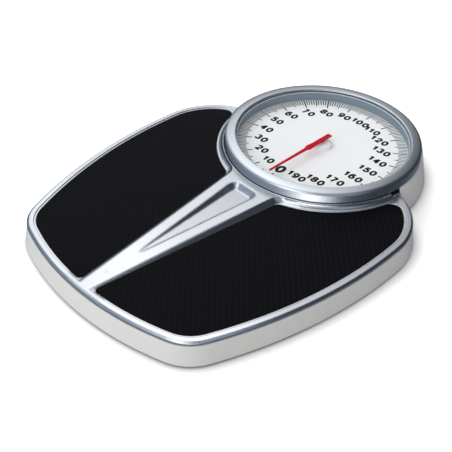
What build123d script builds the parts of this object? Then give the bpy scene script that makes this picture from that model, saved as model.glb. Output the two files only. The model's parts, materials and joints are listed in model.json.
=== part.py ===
from build123d import *
import math
import os

# A mechanical bathroom scale. A silver frame with two rubber mats floats on four
# knife-edge levers inside a cream housing. The levers pull a crank against a coil
# spring, and the crank drives a rack and pinion that turns the needle of a large
# round dial. The frame sits at the middle of the outline on the floor: X across,
# +Y towards the dial, +Z up. All sizes are millimetres.

# Platform outline, seen from above
HALF_WIDTH = 156.0
WIDEST_Y = 7.0
NEAR_END_Y = -212.2
FAR_END_Y = 112.3
SIDE_RADIUS = 466.0
NEAR_RADIUS = 292.0
FAR_RADIUS = 529.0
NEAR_CORNER_RADIUS = 43.5
FAR_CORNER_RADIUS = 75.0

# Housing
FOOT_HEIGHT = 3.0
FOOT_RADIUS = 11.0
FOOT_PEG_RADIUS = 3.0
FOOT_EDGE = 0.8
FLOOR_THICKNESS = 1.8
WALL = 2.0
SKIRT_TOP = 23.0
SKIRT_FLARE = 3.4
LOBE_RADIUS = 110.0
LOBE_TOP_RADIUS = 104.0
LOBE_TOP = 31.0
LOBE_FRONT_SET_BACK = 2.3

# Platform, from the steel plate up
TREAD_TOP = 24.9
TREAD_THICKNESS = 1.2
TREAD_INSET = 3.4
TREAD_FLANGE_DEPTH = 4.0
FRAME_EDGE_BOTTOM = 24.0
FRAME_EDGE_TOP = 25.5
FRAME_EDGE_GAP = 0.2
FRAME_TOP = 27.2
FRAME_BEVEL = 2.0
FRAME_CROWN_WIDTH = 6.6
FRAME_WIDTH_SIDE = 8.5
FRAME_LIP_TOP = 26.4
MAT_THICKNESS = 1.3
MAT_GAP = 0.3
MAT_CORNER_RADIUS = 5.0
MAT_FAR_CORNER_RADIUS = 10.0
MAT_EDGE_ROUND = 0.5

# Spine down the middle of the platform
SPINE_NEAR_Y = -205.0
SPINE_NEAR_TOP_HALF = 5.9
SPINE_NEAR_FOOT_HALF = 8.6
SPINE_FAR_TOP_HALF = 27.8
SPINE_FAR_FOOT_HALF = 33.4
SPINE_RAISE = 0.05
SPINE_OVERRUN = 10.0
BLEND_FOOT_RADIUS = 9.0
BLEND_TOP_RADIUS = 15.0
BLEND_REACH = 30.0
BLEND_INSET = 0.2
POCKET_TIP_Y = -158.0
POCKET_END_FROM_COLLAR = 2.5
POCKET_HALF_END = 16.6
POCKET_HALF_TIP = 2.2
POCKET_CORNER_RADIUS = 7.5
POCKET_TIP_RADIUS = 1.9
POCKET_DEPTH = 5.2
POCKET_CUT_DEPTH = 7.2
POCKET_WALL_SLOPE = 38.0
POCKET_FLOOR_ROUND = 2.5
POCKET_END_EDGES = 5

# Dial head
DIAL_Y = 105.8
BEZEL_OUTER_RADIUS = 101.8
BEZEL_INNER_RADIUS = 90.4
BEZEL_BOTTOM = 31.2
BEZEL_TOP = 42.3
BEZEL_OUTER_DROP = 0.5
BEZEL_SHOULDER = 2.4
BEZEL_WALL = 1.7
BEZEL_INNER_ROUND = 0.8
BITE_CLEARANCE = 1.2
COLLAR_FOOT_RADIUS = 109.7
COLLAR_TOP = 31.2
COLLAR_LIP = 1.0
COLLAR_HOLLOW_OUT = 1.9
COLLAR_HOLLOW_DROP = 1.0
COLLAR_END_ANGLE = 9.0
DRUM_RADIUS = 97.5
DRUM_WALL = 1.5
DRUM_FLOOR_BOTTOM = 26.6
DRUM_FLOOR_THICKNESS = 1.2
FACE_THICKNESS = 0.8
SPACER_HEIGHT = 10.2
SPACER_REVEAL = 1.0
SPACER_WALL = 1.6
LENS_THICKNESS = 1.8
SEAT_CLEARANCE = 0.2
BOSS_RADIUS = 11.0
BOSS_HEIGHT = 4.4
BOSS_EDGE = 1.0
BOSS_SKIN = 1.0
BOSS_SHAFT_GAP = 0.5

# Needle, shaft and gearing
NEEDLE_ABOVE_FACE = 6.7
NEEDLE_THICKNESS = 0.6
NEEDLE_REACH = 80.5
NEEDLE_TAIL = 12.0
NEEDLE_BROAD_HALF = 2.4
NEEDLE_BROAD_END = 23.0
NEEDLE_HEEL_HALF = 3.0
NEEDLE_HEEL_STEP = 3.5
NEEDLE_THIN_HALF = 1.1
NEEDLE_TIP_HALF = 0.4
NEEDLE_HUB_RADIUS = 2.6
NEEDLE_HUB_HEIGHT = 1.6
SHAFT_RADIUS = 1.0
RUNNING_CLEARANCE = 0.05
BUSH_RADIUS = 3.0
BUSH_FLANGE = 1.0
BUSH_ABOVE_FACE = 1.6
BUSH_HOLE_CLEARANCE = 0.1
MODULE = 0.5
PINION_TEETH = 10
PRESSURE_ANGLE = 20.0
RACK_ADDENDUM = 0.29
PINION_ADDENDUM = 0.45
ROOT_CLEARANCE = 0.15
BACKLASH = 0.12
FLANK_STEPS = 5
NEEDLE_TURN = 356.4
RACK_BOTTOM = 20.2
RACK_THICKNESS = 2.0
RACK_BACK_WIDTH = 3.2
RACK_TOOTH_MARGIN = 3.0
RACK_END_GAP = 3.0
RACK_TAB_LENGTH = 6.0
RACK_EAR_RIM = 0.9
RACK_EAR_BEYOND = 2.0
GUIDE_WALL = 1.4
GUIDE_RAIL = 1.6
GUIDE_LENGTH = 12.0
GUIDE_ABOVE_RACK = 0.3
BRIDGE_TOP = 18.8
BRIDGE_THICKNESS = 1.2
BRIDGE_HALF_WIDTH = 12.0
BRIDGE_HALF_LENGTH = 15.5
BRIDGE_CORNER_RADIUS = 3.0
STANDOFF_RADIUS = 2.0
STANDOFF_X = 9.6
STANDOFF_Y = 12.5
SCREW_RADIUS = 1.2
SCREW_HEAD_RADIUS = 2.4
SCREW_HEAD_HEIGHT = 1.4
SCREW_FLATS = 8
FRAME_SCREW_RADIUS = 1.0
FRAME_SCREW_HEAD_RADIUS = 2.0
FRAME_SCREW_EDGE = 0.6
FRAME_SCREW_SPREAD = 12.0
FRAME_SCREW_FROM_MIDDLE = 90.0

# Crank between the levers and the rack
CRANK_FROM_BACK = 45.8
CRANK_Z = 10.2
CRANK_SWING = 70.0
NOSE_DROP = 6.0
CHEEK_INNER = 4.6
CHEEK_THICKNESS = 1.2
CHEEK_HALF_WIDTH = 1.9
AXLE_RADIUS = 1.5
AXLE_PROUD = 0.3
WEB_FROM_AXLE = 2.1
WEB_WIDTH = 2.4
CRANK_PIN_RADIUS = 0.8
SLOT_SIDE_CLEARANCE = 0.32
FINGER_SLOT_CLEARANCE = 0.18
EAR_THICKNESS = 1.2
EAR_GAP = 0.6
SPRING_ARM = 8.0
BRACKET_THICKNESS = 1.2
BRACKET_EAR_INNER = 2.6
BRACKET_EAR_HALF = 3.5
BRACKET_EAR_RIM = 1.0
BRACKET_FOOT_MARGIN = 4.0

# Levers
LEVER_PIN_Z = 14.5
LEVER_HEIGHT = 7.0
LEVER_WIDTH = 8.0
LEVER_WALL = 1.2
LEVER_FROM_SIDE = 44.0
LEVER_PIN_RADIUS = 1.5
LINK_PIN_RADIUS = 1.2
LINK_CLEARANCE = 0.2
LINK_PIN_INSIDE = 2.0
PIN_PROUD = 1.0
PIN_TIP = 0.4
LONG_FULCRUM_FROM_END = 54.2
SHORT_FULCRUM_FROM_END = 50.3
LOAD_ARM = 16.0
NOSE_FROM_CRANK = 12.0
NOSE_X = 14.0
LONG_STRAIGHT = 28.0
NOSE_STRAIGHT = 18.0
LEVER_OVERHANG = 4.0
SHORT_TIP_OFFSET = 11.5
POST_WIDTH = 9.0
POST_EAR_GAP = 2.0
POST_SHEET = 1.5
POST_ABOVE_PIN = 1.9
NOSE_PLATE_THICKNESS = 3.0
NOSE_PLATE_TOP = 18.0
NOSE_PLATE_CORNER = 1.0
NOSE_PLATE_BELOW_SLOT = 1.1
NOSE_PLATE_BEFORE_PIN = 2.5
NOSE_PLATE_AXLE_GAP = 0.7
NOSE_PIN_GAP = 0.4

# Main spring and zero adjuster
SPRING_WIRE_RADIUS = 0.6
SPRING_MEAN_RADIUS = 3.4
SPRING_TURNS = 9
SPRING_PITCH = 1.65
SPRING_FLATS = 6
SPRING_LEAD = 1.5
HOOK_RADIUS = 2.2
KNOB_RADIUS = 8.0
KNOB_PROUD = 2.8
KNOB_RIDGES = 24
KNOB_RIDGE_DEPTH = 0.6
KNOB_HOLE_CLEARANCE = 0.5
SCREW_SHANK_RADIUS = 1.5
NUT_HALF_WIDTH = 4.4
NUT_HALF_HEIGHT = 4.0
NUT_LENGTH = 4.5
NUT_CLEARANCE = 0.2
NUT_EAR_THICKNESS = 1.4
NUT_EAR_HEIGHT = 3.6
NUT_EAR_RIM = 1.8
NUT_FROM_PIN = 3.0
NUT_END_GAP = 0.5
GUIDE_ABOVE_NUT = 1.5
SCREW_IN_KNOB = 3.0
ADJUST_TRAVEL = 0.5

# Towers that carry the dial drum, and ribs under the platform
TOWER_RADIUS = 4.5
TOWER_NEAR = (78.0, 92.0)
TOWER_FAR = (60.0, 158.0)
RIB_THICKNESS = 1.6
RIB_HEIGHT = 3.0
RIB_Y = (-100.0, -20.0)

# Sizes that follow from the ones above
CRANK_Y = DIAL_Y + LOBE_RADIUS - CRANK_FROM_BACK
NOSE_Y = CRANK_Y - NOSE_FROM_CRANK
LEVER_X = HALF_WIDTH - LEVER_FROM_SIDE
LONG_FULCRUM_Y = NEAR_END_Y + LONG_FULCRUM_FROM_END
SHORT_FULCRUM_Y = FAR_END_Y - SHORT_FULCRUM_FROM_END
FLOOR_TOP = FOOT_HEIGHT + FLOOR_THICKNESS
BITE_RADIUS = BEZEL_OUTER_RADIUS + BITE_CLEARANCE
TREAD_BOTTOM = TREAD_TOP - TREAD_THICKNESS
MAT_TOP = TREAD_TOP + MAT_THICKNESS
DRUM_FLOOR_TOP = DRUM_FLOOR_BOTTOM + DRUM_FLOOR_THICKNESS
FACE_TOP = DRUM_FLOOR_TOP + FACE_THICKNESS
LENS_BOTTOM = FACE_TOP + SPACER_HEIGHT
LENS_TOP = LENS_BOTTOM + LENS_THICKNESS
NEEDLE_Z = FACE_TOP + NEEDLE_ABOVE_FACE
PITCH_RADIUS = MODULE * PINION_TEETH / 2
RACK_TRAVEL = math.radians(NEEDLE_TURN) * PITCH_RADIUS
HALF_SWING = math.radians(CRANK_SWING / 2)
CRANK_ARM = RACK_TRAVEL / (2 * math.sin(HALF_SWING))
FINGER_ARM = NOSE_DROP / (2 * math.sin(HALF_SWING))
HOOK_Y = (LONG_FULCRUM_Y + SHORT_FULCRUM_Y) / 2
EAR_INNER = CHEEK_INNER + CHEEK_THICKNESS + EAR_GAP
SPRING_PIN_Y = CRANK_Y + SPRING_ARM * math.sin(HALF_SWING)
SPRING_Z = CRANK_Z + SPRING_ARM * math.cos(HALF_SWING)


def at_dial(x=0.0, y=0.0, z=0.0):
    return Pos(x, DIAL_Y + y, z)


def mirrored(shape):
    return mirror(shape, about=Plane.YZ)


def rod(x0, x1, y, z, radius):
    """A round rod along X."""
    length = x1 - x0
    return Pos((x0 + x1) / 2, y, z) * Rot(0, 90, 0) * Cylinder(radius, length)


def post(x, y, z0, z1, radius):
    """A round rod along Z."""
    return Pos(x, y, (z0 + z1) / 2) * Cylinder(radius, z1 - z0)


def screw_rod(x, y, z0, z1, radius):
    """A screw's shank, head or hole, drawn with a few flats."""
    return extrude(Pos(x, y, z0) * RegularPolygon(radius, SCREW_FLATS), z1 - z0)


def ring(inner, outer, z0, z1):
    """A flat ring about the dial's axis."""
    plan = Circle(outer) - Circle(inner)
    return at_dial(z=z0) * extrude(plan, z1 - z0)


def side_plate(profile, x0, x1):
    """A plate in the YZ plane, from x0 to x1. The profile is drawn as (Y, Z)."""
    plane = Plane(origin=(x0, 0, 0), x_dir=(0, 1, 0), z_dir=(1, 0, 0))
    return extrude(plane * profile, x1 - x0)


def outline(grow=0.0):
    """The platform's plan, moved outwards by grow."""
    side = Circle(SIDE_RADIUS + grow)
    centre_x = SIDE_RADIUS - HALF_WIDTH
    plan = Pos(-centre_x, WIDEST_Y) * side & Pos(centre_x, WIDEST_Y) * side
    plan = plan & Pos(0, NEAR_END_Y + NEAR_RADIUS) * Circle(NEAR_RADIUS + grow)
    plan = plan & Pos(0, FAR_END_Y - FAR_RADIUS) * Circle(FAR_RADIUS + grow)
    near = plan.vertices().group_by(Axis.Y)[0]
    plan = fillet(near, NEAR_CORNER_RADIUS + grow)
    far = plan.vertices().group_by(Axis.Y)[-1]
    return fillet(far, FAR_CORNER_RADIUS + grow)


def bite(z0, z1, radius=BITE_RADIUS):
    """The round space that the dial head takes out of the platform."""
    return post(0, DIAL_Y, z0, z1, radius)


# Housing


def skirt_grow(z):
    """How far the flared skirt stands out at height z."""
    return SKIRT_FLARE * (SKIRT_TOP - z) / (SKIRT_TOP - FOOT_HEIGHT)


def lobe_radius(z):
    slope = (LOBE_RADIUS - LOBE_TOP_RADIUS) / (LOBE_TOP - FOOT_HEIGHT)
    return LOBE_RADIUS - slope * (z - FOOT_HEIGHT)


def housing_form(inset, z0, z1):
    """Skirt and lobe as one tapered block, drawn in by inset."""
    top = min(z1, SKIRT_TOP)
    low = Pos(0, 0, z0) * outline(skirt_grow(z0) - inset)
    high = Pos(0, 0, top) * outline(skirt_grow(top) - inset)
    skirt = loft([low, high], ruled=True)
    lobe = at_dial(z=(z0 + z1) / 2) * Cone(
        lobe_radius(z0) - inset, lobe_radius(z1) - inset, z1 - z0
    )
    return skirt, lobe


def lobe_back(lobe):
    """The part of the lobe behind the platform, where it rises under the bezel."""
    reach = 2 * LOBE_RADIUS
    front = DIAL_Y - LOBE_FRONT_SET_BACK
    block = Pos(0, front + reach / 2, LOBE_TOP / 2) * Box(2 * reach, reach, 2 * LOBE_TOP)
    return lobe & block


def towers():
    return [(side * x, y) for x, y in (TOWER_NEAR, TOWER_FAR) for side in (-1, 1)]


def foot_places():
    ends = (("near", LONG_FULCRUM_Y), ("far", SHORT_FULCRUM_Y))
    sides = (("left", -1), ("right", 1))
    return {f"{end}_{side}": (sign * LEVER_X, y) for end, y in ends for side, sign in sides}


def housing():
    skirt, lobe = housing_form(0, FOOT_HEIGHT, LOBE_TOP)
    inner_skirt, inner_lobe = housing_form(WALL, FLOOR_TOP, LOBE_TOP + 1)
    low_lobe = lobe & Pos(0, 0, SKIRT_TOP / 2) * Box(
        4 * LOBE_RADIUS, 4 * LOBE_RADIUS, SKIRT_TOP
    )
    body = skirt + low_lobe + lobe_back(lobe)
    body = body - inner_lobe - extrude(inner_skirt.faces().sort_by(Axis.Z)[-1], 1) - inner_skirt
    for x, y in towers():
        body += post(x, y, FLOOR_TOP, DRUM_FLOOR_BOTTOM, TOWER_RADIUS)
        body -= screw_rod(x, y, FOOT_HEIGHT, DRUM_FLOOR_BOTTOM, SCREW_RADIUS)
        body -= screw_rod(x, y, FOOT_HEIGHT, FOOT_HEIGHT + SCREW_HEAD_HEIGHT, SCREW_HEAD_RADIUS)
    for x, y in foot_places().values():
        body -= post(x, y, FOOT_HEIGHT, FLOOR_TOP, FOOT_PEG_RADIUS)
    hole_radius = KNOB_RADIUS + KNOB_HOLE_CLEARANCE
    lean = lobe_radius(SPRING_Z - hole_radius) - lobe_radius(SPRING_Z + hole_radius)
    hole = Pos(0, DIAL_Y + lobe_radius(SPRING_Z), SPRING_Z) * Rot(90, 0, 0)
    body -= hole * Cylinder(hole_radius, 2 * lean + 4 * WALL)
    for y in RIB_Y:
        rib = Pos(0, y, FLOOR_TOP + RIB_HEIGHT / 2) * Box(2 * HALF_WIDTH, RIB_THICKNESS, RIB_HEIGHT)
        body += rib & inner_skirt
    return body


def foot(x, y):
    pad = post(x, y, 0, FOOT_HEIGHT, FOOT_RADIUS)
    rim = pad.edges().filter_by(GeomType.CIRCLE).sort_by(Axis.Z)[0]
    pad = chamfer(rim, FOOT_EDGE)
    return pad + post(x, y, FOOT_HEIGHT, FLOOR_TOP, FOOT_PEG_RADIUS)


# Platform


def tread_plate():
    """Pressed steel plate with a turned-down edge, which carries frame and mats."""
    top = extrude(Pos(0, 0, TREAD_BOTTOM) * outline(-TREAD_INSET), TREAD_THICKNESS)
    edge = outline(-TREAD_INSET) - outline(-TREAD_INSET - TREAD_THICKNESS)
    flange = extrude(Pos(0, 0, TREAD_BOTTOM - TREAD_FLANGE_DEPTH) * edge, TREAD_FLANGE_DEPTH)
    plate = top + flange - bite(0, FRAME_TOP + 1)
    for x, y in frame_screw_places():
        plate -= screw_rod(x, y, TREAD_BOTTOM, TREAD_TOP, FRAME_SCREW_RADIUS)
    return plate


def spine_half(y, near, far):
    """Half width of the spine at y, from its near and far half widths."""
    far_y = DIAL_Y - COLLAR_FOOT_RADIUS
    return near + (far - near) * (y - SPINE_NEAR_Y) / (far_y - SPINE_NEAR_Y)


def spine_top(y):
    far_y = DIAL_Y - COLLAR_FOOT_RADIUS
    return FRAME_TOP + (COLLAR_TOP - FRAME_TOP) * (y - SPINE_NEAR_Y) / (far_y - SPINE_NEAR_Y)


def spine_wall(y, z):
    """Half width of the spine at y and height z, on its sloped wall."""
    foot_half = spine_half(y, SPINE_NEAR_FOOT_HALF, SPINE_FAR_FOOT_HALF)
    top_half = spine_half(y, SPINE_NEAR_TOP_HALF, SPINE_FAR_TOP_HALF)
    share = (z - MAT_TOP) / (spine_top(y) + SPINE_RAISE - MAT_TOP)
    return foot_half + (top_half - foot_half) * share


def spine_section(y):
    top = spine_top(y) + SPINE_RAISE
    foot_half, top_half = spine_wall(y, MAT_TOP), spine_wall(y, top)
    points = [(-foot_half, MAT_TOP), (foot_half, MAT_TOP), (top_half, top), (-top_half, top)]
    plane = Plane(origin=(0, y, 0), x_dir=(1, 0, 0), z_dir=(0, -1, 0))
    return plane * make_face(Polyline(*points, close=True))


def spine_plan(grow=0.0):
    """The wedge that the spine and its foot cover, seen from above."""
    near_y, end_y = NEAR_END_Y - SPINE_OVERRUN, DIAL_Y
    near = spine_half(near_y, SPINE_NEAR_FOOT_HALF, SPINE_FAR_FOOT_HALF) + grow
    far = spine_half(end_y, SPINE_NEAR_FOOT_HALF, SPINE_FAR_FOOT_HALF) + grow
    points = [(-near, near_y), (near, near_y), (far, end_y), (-far, end_y)]
    return make_face(Polyline(*points, close=True))


def mat_plan(grow=0.0):
    """One mat on the +X side, moved outwards by grow. Its far corners are rounder than its near ones."""
    plan = outline(grow - FRAME_WIDTH_SIDE) - spine_plan(-grow)
    plan -= Pos(0, DIAL_Y) * Circle(COLLAR_FOOT_RADIUS - grow)
    plan = plan & Pos(HALF_WIDTH, 0) * Rectangle(2 * HALF_WIDTH, 4 * HALF_WIDTH)
    sharp = [v for v in plan.vertices() if is_sharp(plan, v)]
    shortest = min(e.length for e in plan.edges())
    corner = min(MAT_CORNER_RADIUS + grow, shortest / 3)
    far_y = DIAL_Y - COLLAR_FOOT_RADIUS
    sharp.sort(key=lambda v: math.dist((v.X, v.Y), (SPINE_FAR_FOOT_HALF, far_y)))
    plan = fillet(sharp[:1], BLEND_FOOT_RADIUS + grow)
    near = [v for v in plan.vertices() if is_sharp(plan, v) and v.Y < 0]
    plan = fillet(near, corner)
    far = [v for v in plan.vertices() if is_sharp(plan, v)]
    return fillet(far, min(MAT_FAR_CORNER_RADIUS + grow, shortest / 3))


def is_sharp(plan, vertex):
    """True where two edges of a plan meet at an angle."""
    tangents = []
    for edge in plan.edges():
        for end, sign in ((0, 1), (1, -1)):
            if (edge @ end - vertex.center()).length < 1e-4:
                tangents.append((edge % end) * sign)
    return len(tangents) == 2 and (tangents[0] + tangents[1]).length > 0.1


def mat():
    """Rubber mat, softened along its upper edge."""
    plan = mat_plan(-MAT_GAP)
    slab = extrude(Pos(0, 0, TREAD_TOP) * plan, MAT_THICKNESS)
    rim = slab.faces().sort_by(Axis.Z)[-1].edges()
    return chamfer(rim, MAT_EDGE_ROUND)


def flare_points():
    """Foot, middle and top of the collar's hollow flare, as (radius, Z)."""
    top_radius = BITE_RADIUS + COLLAR_LIP
    middle_z = (MAT_TOP + COLLAR_TOP) / 2 - COLLAR_HOLLOW_DROP
    return (COLLAR_FOOT_RADIUS, MAT_TOP), (top_radius + COLLAR_HOLLOW_OUT, middle_z), (top_radius, COLLAR_TOP)


def collar():
    """Trumpet-shaped flare round the near half of the dial head."""
    foot_point, middle_point, top_point = flare_points()
    profile = make_face(
        Polyline(top_point, (BITE_RADIUS, COLLAR_TOP), (BITE_RADIUS, TREAD_TOP),
                 (COLLAR_FOOT_RADIUS, TREAD_TOP), foot_point)
        + ThreePointArc(foot_point, middle_point, top_point)
    )
    half_turn = 180 - 2 * COLLAR_END_ANGLE
    flare = revolve(Plane.XZ * profile, Axis.Z, half_turn)
    return at_dial() * Rot(0, 0, 180 + COLLAR_END_ANGLE) * flare


def blend_ends():
    """Where the blend starts on the spine, and where it ends under the collar."""
    return DIAL_Y - COLLAR_FOOT_RADIUS - BLEND_REACH, DIAL_Y - BITE_RADIUS + SPINE_OVERRUN


def blend_plan(z, radius, corner):
    """Spine and collar at height z, seen from above, with rounded inner corners."""
    near_y, end_y = blend_ends()
    near, far = spine_wall(near_y, z) - BLEND_INSET, spine_wall(end_y, z) - BLEND_INSET
    wedge = make_face(Polyline((-near, near_y), (near, near_y), (far, end_y), (-far, end_y), close=True))
    front = Pos(0, end_y - BLEND_REACH) * Rectangle(5 * BLEND_REACH, 2 * BLEND_REACH)
    plan = wedge + (Pos(0, DIAL_Y) * Circle(radius - 2 * BLEND_INSET) & front)
    inner = [v for v in plan.vertices() if near_y + BLEND_INSET < v.Y < end_y - BLEND_INSET]
    return Pos(0, 0, z) * fillet(inner, corner)


def spine_blend():
    """Rounded corners where the spine's walls run into the collar's flare."""
    corners = (BLEND_FOOT_RADIUS, (BLEND_FOOT_RADIUS + BLEND_TOP_RADIUS) / 2, BLEND_TOP_RADIUS)
    levels = [blend_plan(z, radius, corner) for (radius, z), corner in zip(flare_points(), corners)]
    near_y, end_y = blend_ends()
    far_y = near_y + BLEND_REACH
    roof = [(near_y, MAT_TOP), (near_y, spine_top(near_y)), (far_y, COLLAR_TOP), (end_y, COLLAR_TOP),
            (end_y, MAT_TOP)]
    below = side_plate(make_face(Polyline(*roof, close=True)), -HALF_WIDTH, HALF_WIDTH)
    return loft(levels, ruled=True) & below


def pocket():
    """Scooped recess in the spine: sloped walls, and a floor that falls to the dial."""
    end_y = DIAL_Y - COLLAR_FOOT_RADIUS - POCKET_END_FROM_COLLAR
    points = [(-POCKET_HALF_TIP, POCKET_TIP_Y), (POCKET_HALF_TIP, POCKET_TIP_Y),
              (POCKET_HALF_END, end_y), (-POCKET_HALF_END, end_y)]
    plan = make_face(Polyline(*points, close=True))
    plan = fillet(plan.vertices().group_by(Axis.Y)[-1], POCKET_CORNER_RADIUS)
    plan = fillet(plan.vertices().group_by(Axis.Y)[0], POCKET_TIP_RADIUS)
    walls = extrude(Pos(0, 0, COLLAR_TOP) * plan, -POCKET_CUT_DEPTH, taper=POCKET_WALL_SLOPE)
    low, high = COLLAR_TOP - POCKET_DEPTH, COLLAR_TOP + POCKET_DEPTH
    floor = [(POCKET_TIP_Y, spine_top(POCKET_TIP_Y)), (end_y, low), (end_y, high), (POCKET_TIP_Y, high)]
    wedge = side_plate(make_face(Polyline(*floor, close=True)), -HALF_WIDTH, HALF_WIDTH)
    scoop = walls & wedge
    floor_edges = scoop.faces().sort_by(Axis.Z)[0].edges().sort_by(Axis.Y)
    return fillet(floor_edges[-POCKET_END_EDGES:], POCKET_FLOOR_ROUND)


def silver_frame():
    """Rim, spine and collar, moulded as one. A lower lip runs inside the rim's crown."""
    low = Pos(0, 0, FRAME_EDGE_TOP) * outline()
    high = Pos(0, 0, FRAME_TOP) * outline(-FRAME_BEVEL)
    rim = loft([low, high], ruled=True)
    rim += extrude(Pos(0, 0, TREAD_TOP) * outline(), FRAME_EDGE_TOP - TREAD_TOP)
    edge = outline() - outline(FRAME_EDGE_GAP - TREAD_INSET)
    rim += extrude(Pos(0, 0, FRAME_EDGE_BOTTOM) * edge, TREAD_TOP - FRAME_EDGE_BOTTOM)
    rim -= extrude(Pos(0, 0, FRAME_LIP_TOP) * outline(-FRAME_CROWN_WIDTH), FRAME_TOP)
    for window in (mat_plan(), mirrored(mat_plan())):
        rim -= extrude(Pos(0, 0, TREAD_TOP) * window, FRAME_TOP)
    end_y = DIAL_Y - BITE_RADIUS + SPINE_OVERRUN
    spine = loft([spine_section(SPINE_NEAR_Y - FRAME_BEVEL), spine_section(end_y)], ruled=True)
    raised = spine + collar() + spine_blend()
    body = rim + raised
    body -= Pos(0, 0, 1.5 * COLLAR_TOP) * Box(4 * HALF_WIDTH, 4 * HALF_WIDTH, COLLAR_TOP)
    body -= pocket()
    body -= bite(0, 2 * COLLAR_TOP)
    for x, y in frame_screw_places():
        body -= screw_rod(x, y, TREAD_TOP, TREAD_TOP + SCREW_HEAD_HEIGHT, FRAME_SCREW_RADIUS)
    return body


def frame_screw_places():
    """Under the rim on both sides, and along the spine."""
    side_x = HALF_WIDTH - FRAME_WIDTH_SIDE + FRAME_SCREW_RADIUS + FRAME_SCREW_EDGE
    spread = (-FRAME_SCREW_SPREAD, FRAME_SCREW_SPREAD)
    sides = [(side * side_x, WIDEST_Y + dy) for dy in spread for side in (-1, 1)]
    middle = (SPINE_NEAR_Y + POCKET_TIP_Y) / 2
    return sides + [(0, middle), (0, WIDEST_Y - FRAME_SCREW_FROM_MIDDLE)]


def frame_screws():
    screws = []
    for x, y in frame_screw_places():
        shank = screw_rod(x, y, TREAD_BOTTOM, TREAD_TOP + SCREW_HEAD_HEIGHT, FRAME_SCREW_RADIUS)
        head = screw_rod(x, y, TREAD_BOTTOM - SCREW_HEAD_HEIGHT, TREAD_BOTTOM, FRAME_SCREW_HEAD_RADIUS)
        screws.append(shank + head)
    return screws


# Knife-edge posts


def post_ear(x, y, z0, z1, notch_z, opening):
    """One upright ear with a round-bottomed notch that opens up or down."""
    ear = Pos(x, y, (z0 + z1) / 2) * Box(POST_SHEET, POST_WIDTH, z1 - z0)
    radius = LEVER_PIN_RADIUS + RUNNING_CLEARANCE
    reach = 2 * POST_ABOVE_PIN
    notch = rod(x - POST_SHEET, x + POST_SHEET, y, notch_z, radius)
    way = Pos(x, y, notch_z + opening * reach / 2) * Box(2 * POST_SHEET, 2 * radius, reach)
    return ear - notch - way


def ear_places(x):
    offset = LEVER_WIDTH / 2 + POST_EAR_GAP + POST_SHEET / 2
    return (x - offset, x + offset)


def fulcrum_post(x, y):
    """U-shaped steel bracket on the floor that holds a lever's fulcrum pin."""
    width = LEVER_WIDTH + 2 * POST_EAR_GAP + 2 * POST_SHEET
    plate = Pos(x, y, FLOOR_TOP + POST_SHEET / 2) * Box(width, POST_WIDTH, POST_SHEET)
    for ear_x in ear_places(x):
        plate += post_ear(ear_x, y, FLOOR_TOP, LEVER_PIN_Z + POST_ABOVE_PIN, LEVER_PIN_Z, 1)
    return plate


def load_post(x, y):
    """U-shaped steel bracket under the platform that stands on a lever's load pin."""
    width = LEVER_WIDTH + 2 * POST_EAR_GAP + 2 * POST_SHEET
    plate = Pos(x, y, TREAD_BOTTOM - POST_SHEET / 2) * Box(width, POST_WIDTH, POST_SHEET)
    for ear_x in ear_places(x):
        plate += post_ear(ear_x, y, LEVER_PIN_Z - POST_ABOVE_PIN, TREAD_BOTTOM, LEVER_PIN_Z, -1)
    return plate


# Levers, drawn for the +X side


def channel(path):
    """An open-bottomed channel along a plan path."""
    z0, z1 = LEVER_PIN_Z - LEVER_HEIGHT / 2, LEVER_PIN_Z + LEVER_HEIGHT / 2
    bar = None
    hollow = None
    for a, b in zip(path, path[1:]):
        outer = strip(a, b, LEVER_WIDTH / 2, z0, z1)
        inner = strip(a, b, LEVER_WIDTH / 2 - LEVER_WALL, z0, z1 - LEVER_WALL)
        bar = outer if bar is None else bar + outer
        hollow = inner if hollow is None else hollow + inner
    for x, y in path[1:-1]:
        bar += post(x, y, z0, z1, LEVER_WIDTH / 2)
        hollow += post(x, y, z0, z1 - LEVER_WALL, LEVER_WIDTH / 2 - LEVER_WALL)
    return bar - hollow


def strip(a, b, half, z0, z1):
    """A straight bar from a to b in plan."""
    length = math.dist(a, b)
    angle = math.degrees(math.atan2(b[1] - a[1], b[0] - a[0]))
    place = Pos((a[0] + b[0]) / 2, (a[1] + b[1]) / 2, (z0 + z1) / 2) * Rot(0, 0, angle)
    return place * Box(length, 2 * half, z1 - z0)


def lever_pin(x, y):
    offset = LEVER_WIDTH / 2 + POST_EAR_GAP + POST_SHEET + PIN_PROUD
    return rod(x - offset, x + offset, y, LEVER_PIN_Z, LEVER_PIN_RADIUS)


def long_path():
    near = LONG_FULCRUM_Y - LEVER_OVERHANG
    return [(LEVER_X, near), (LEVER_X, LONG_FULCRUM_Y + LONG_STRAIGHT),
            (NOSE_X, NOSE_Y - NOSE_STRAIGHT), (NOSE_X, NOSE_Y + LEVER_OVERHANG)]


def long_x(y):
    """Where the long lever's middle line is at y."""
    (x0, y0), (x1, y1) = long_path()[1:3]
    return x0 + (x1 - x0) * (y - y0) / (y1 - y0)


def short_tip_x():
    return long_x(HOOK_Y) + SHORT_TIP_OFFSET


def short_path():
    far = SHORT_FULCRUM_Y + LEVER_OVERHANG
    straight = SHORT_FULCRUM_Y - LOAD_ARM - 2 * LEVER_OVERHANG
    return [(LEVER_X, far), (LEVER_X, straight), (short_tip_x(), HOOK_Y - LEVER_OVERHANG)]


def long_pins():
    inner = NOSE_PIN_GAP
    outer = NOSE_X + LEVER_WIDTH / 2
    nose = rod(inner, outer, NOSE_Y, LEVER_PIN_Z, LINK_PIN_RADIUS)
    return [lever_pin(LEVER_X, LONG_FULCRUM_Y), lever_pin(LEVER_X, LONG_FULCRUM_Y + LOAD_ARM), nose]


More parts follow.
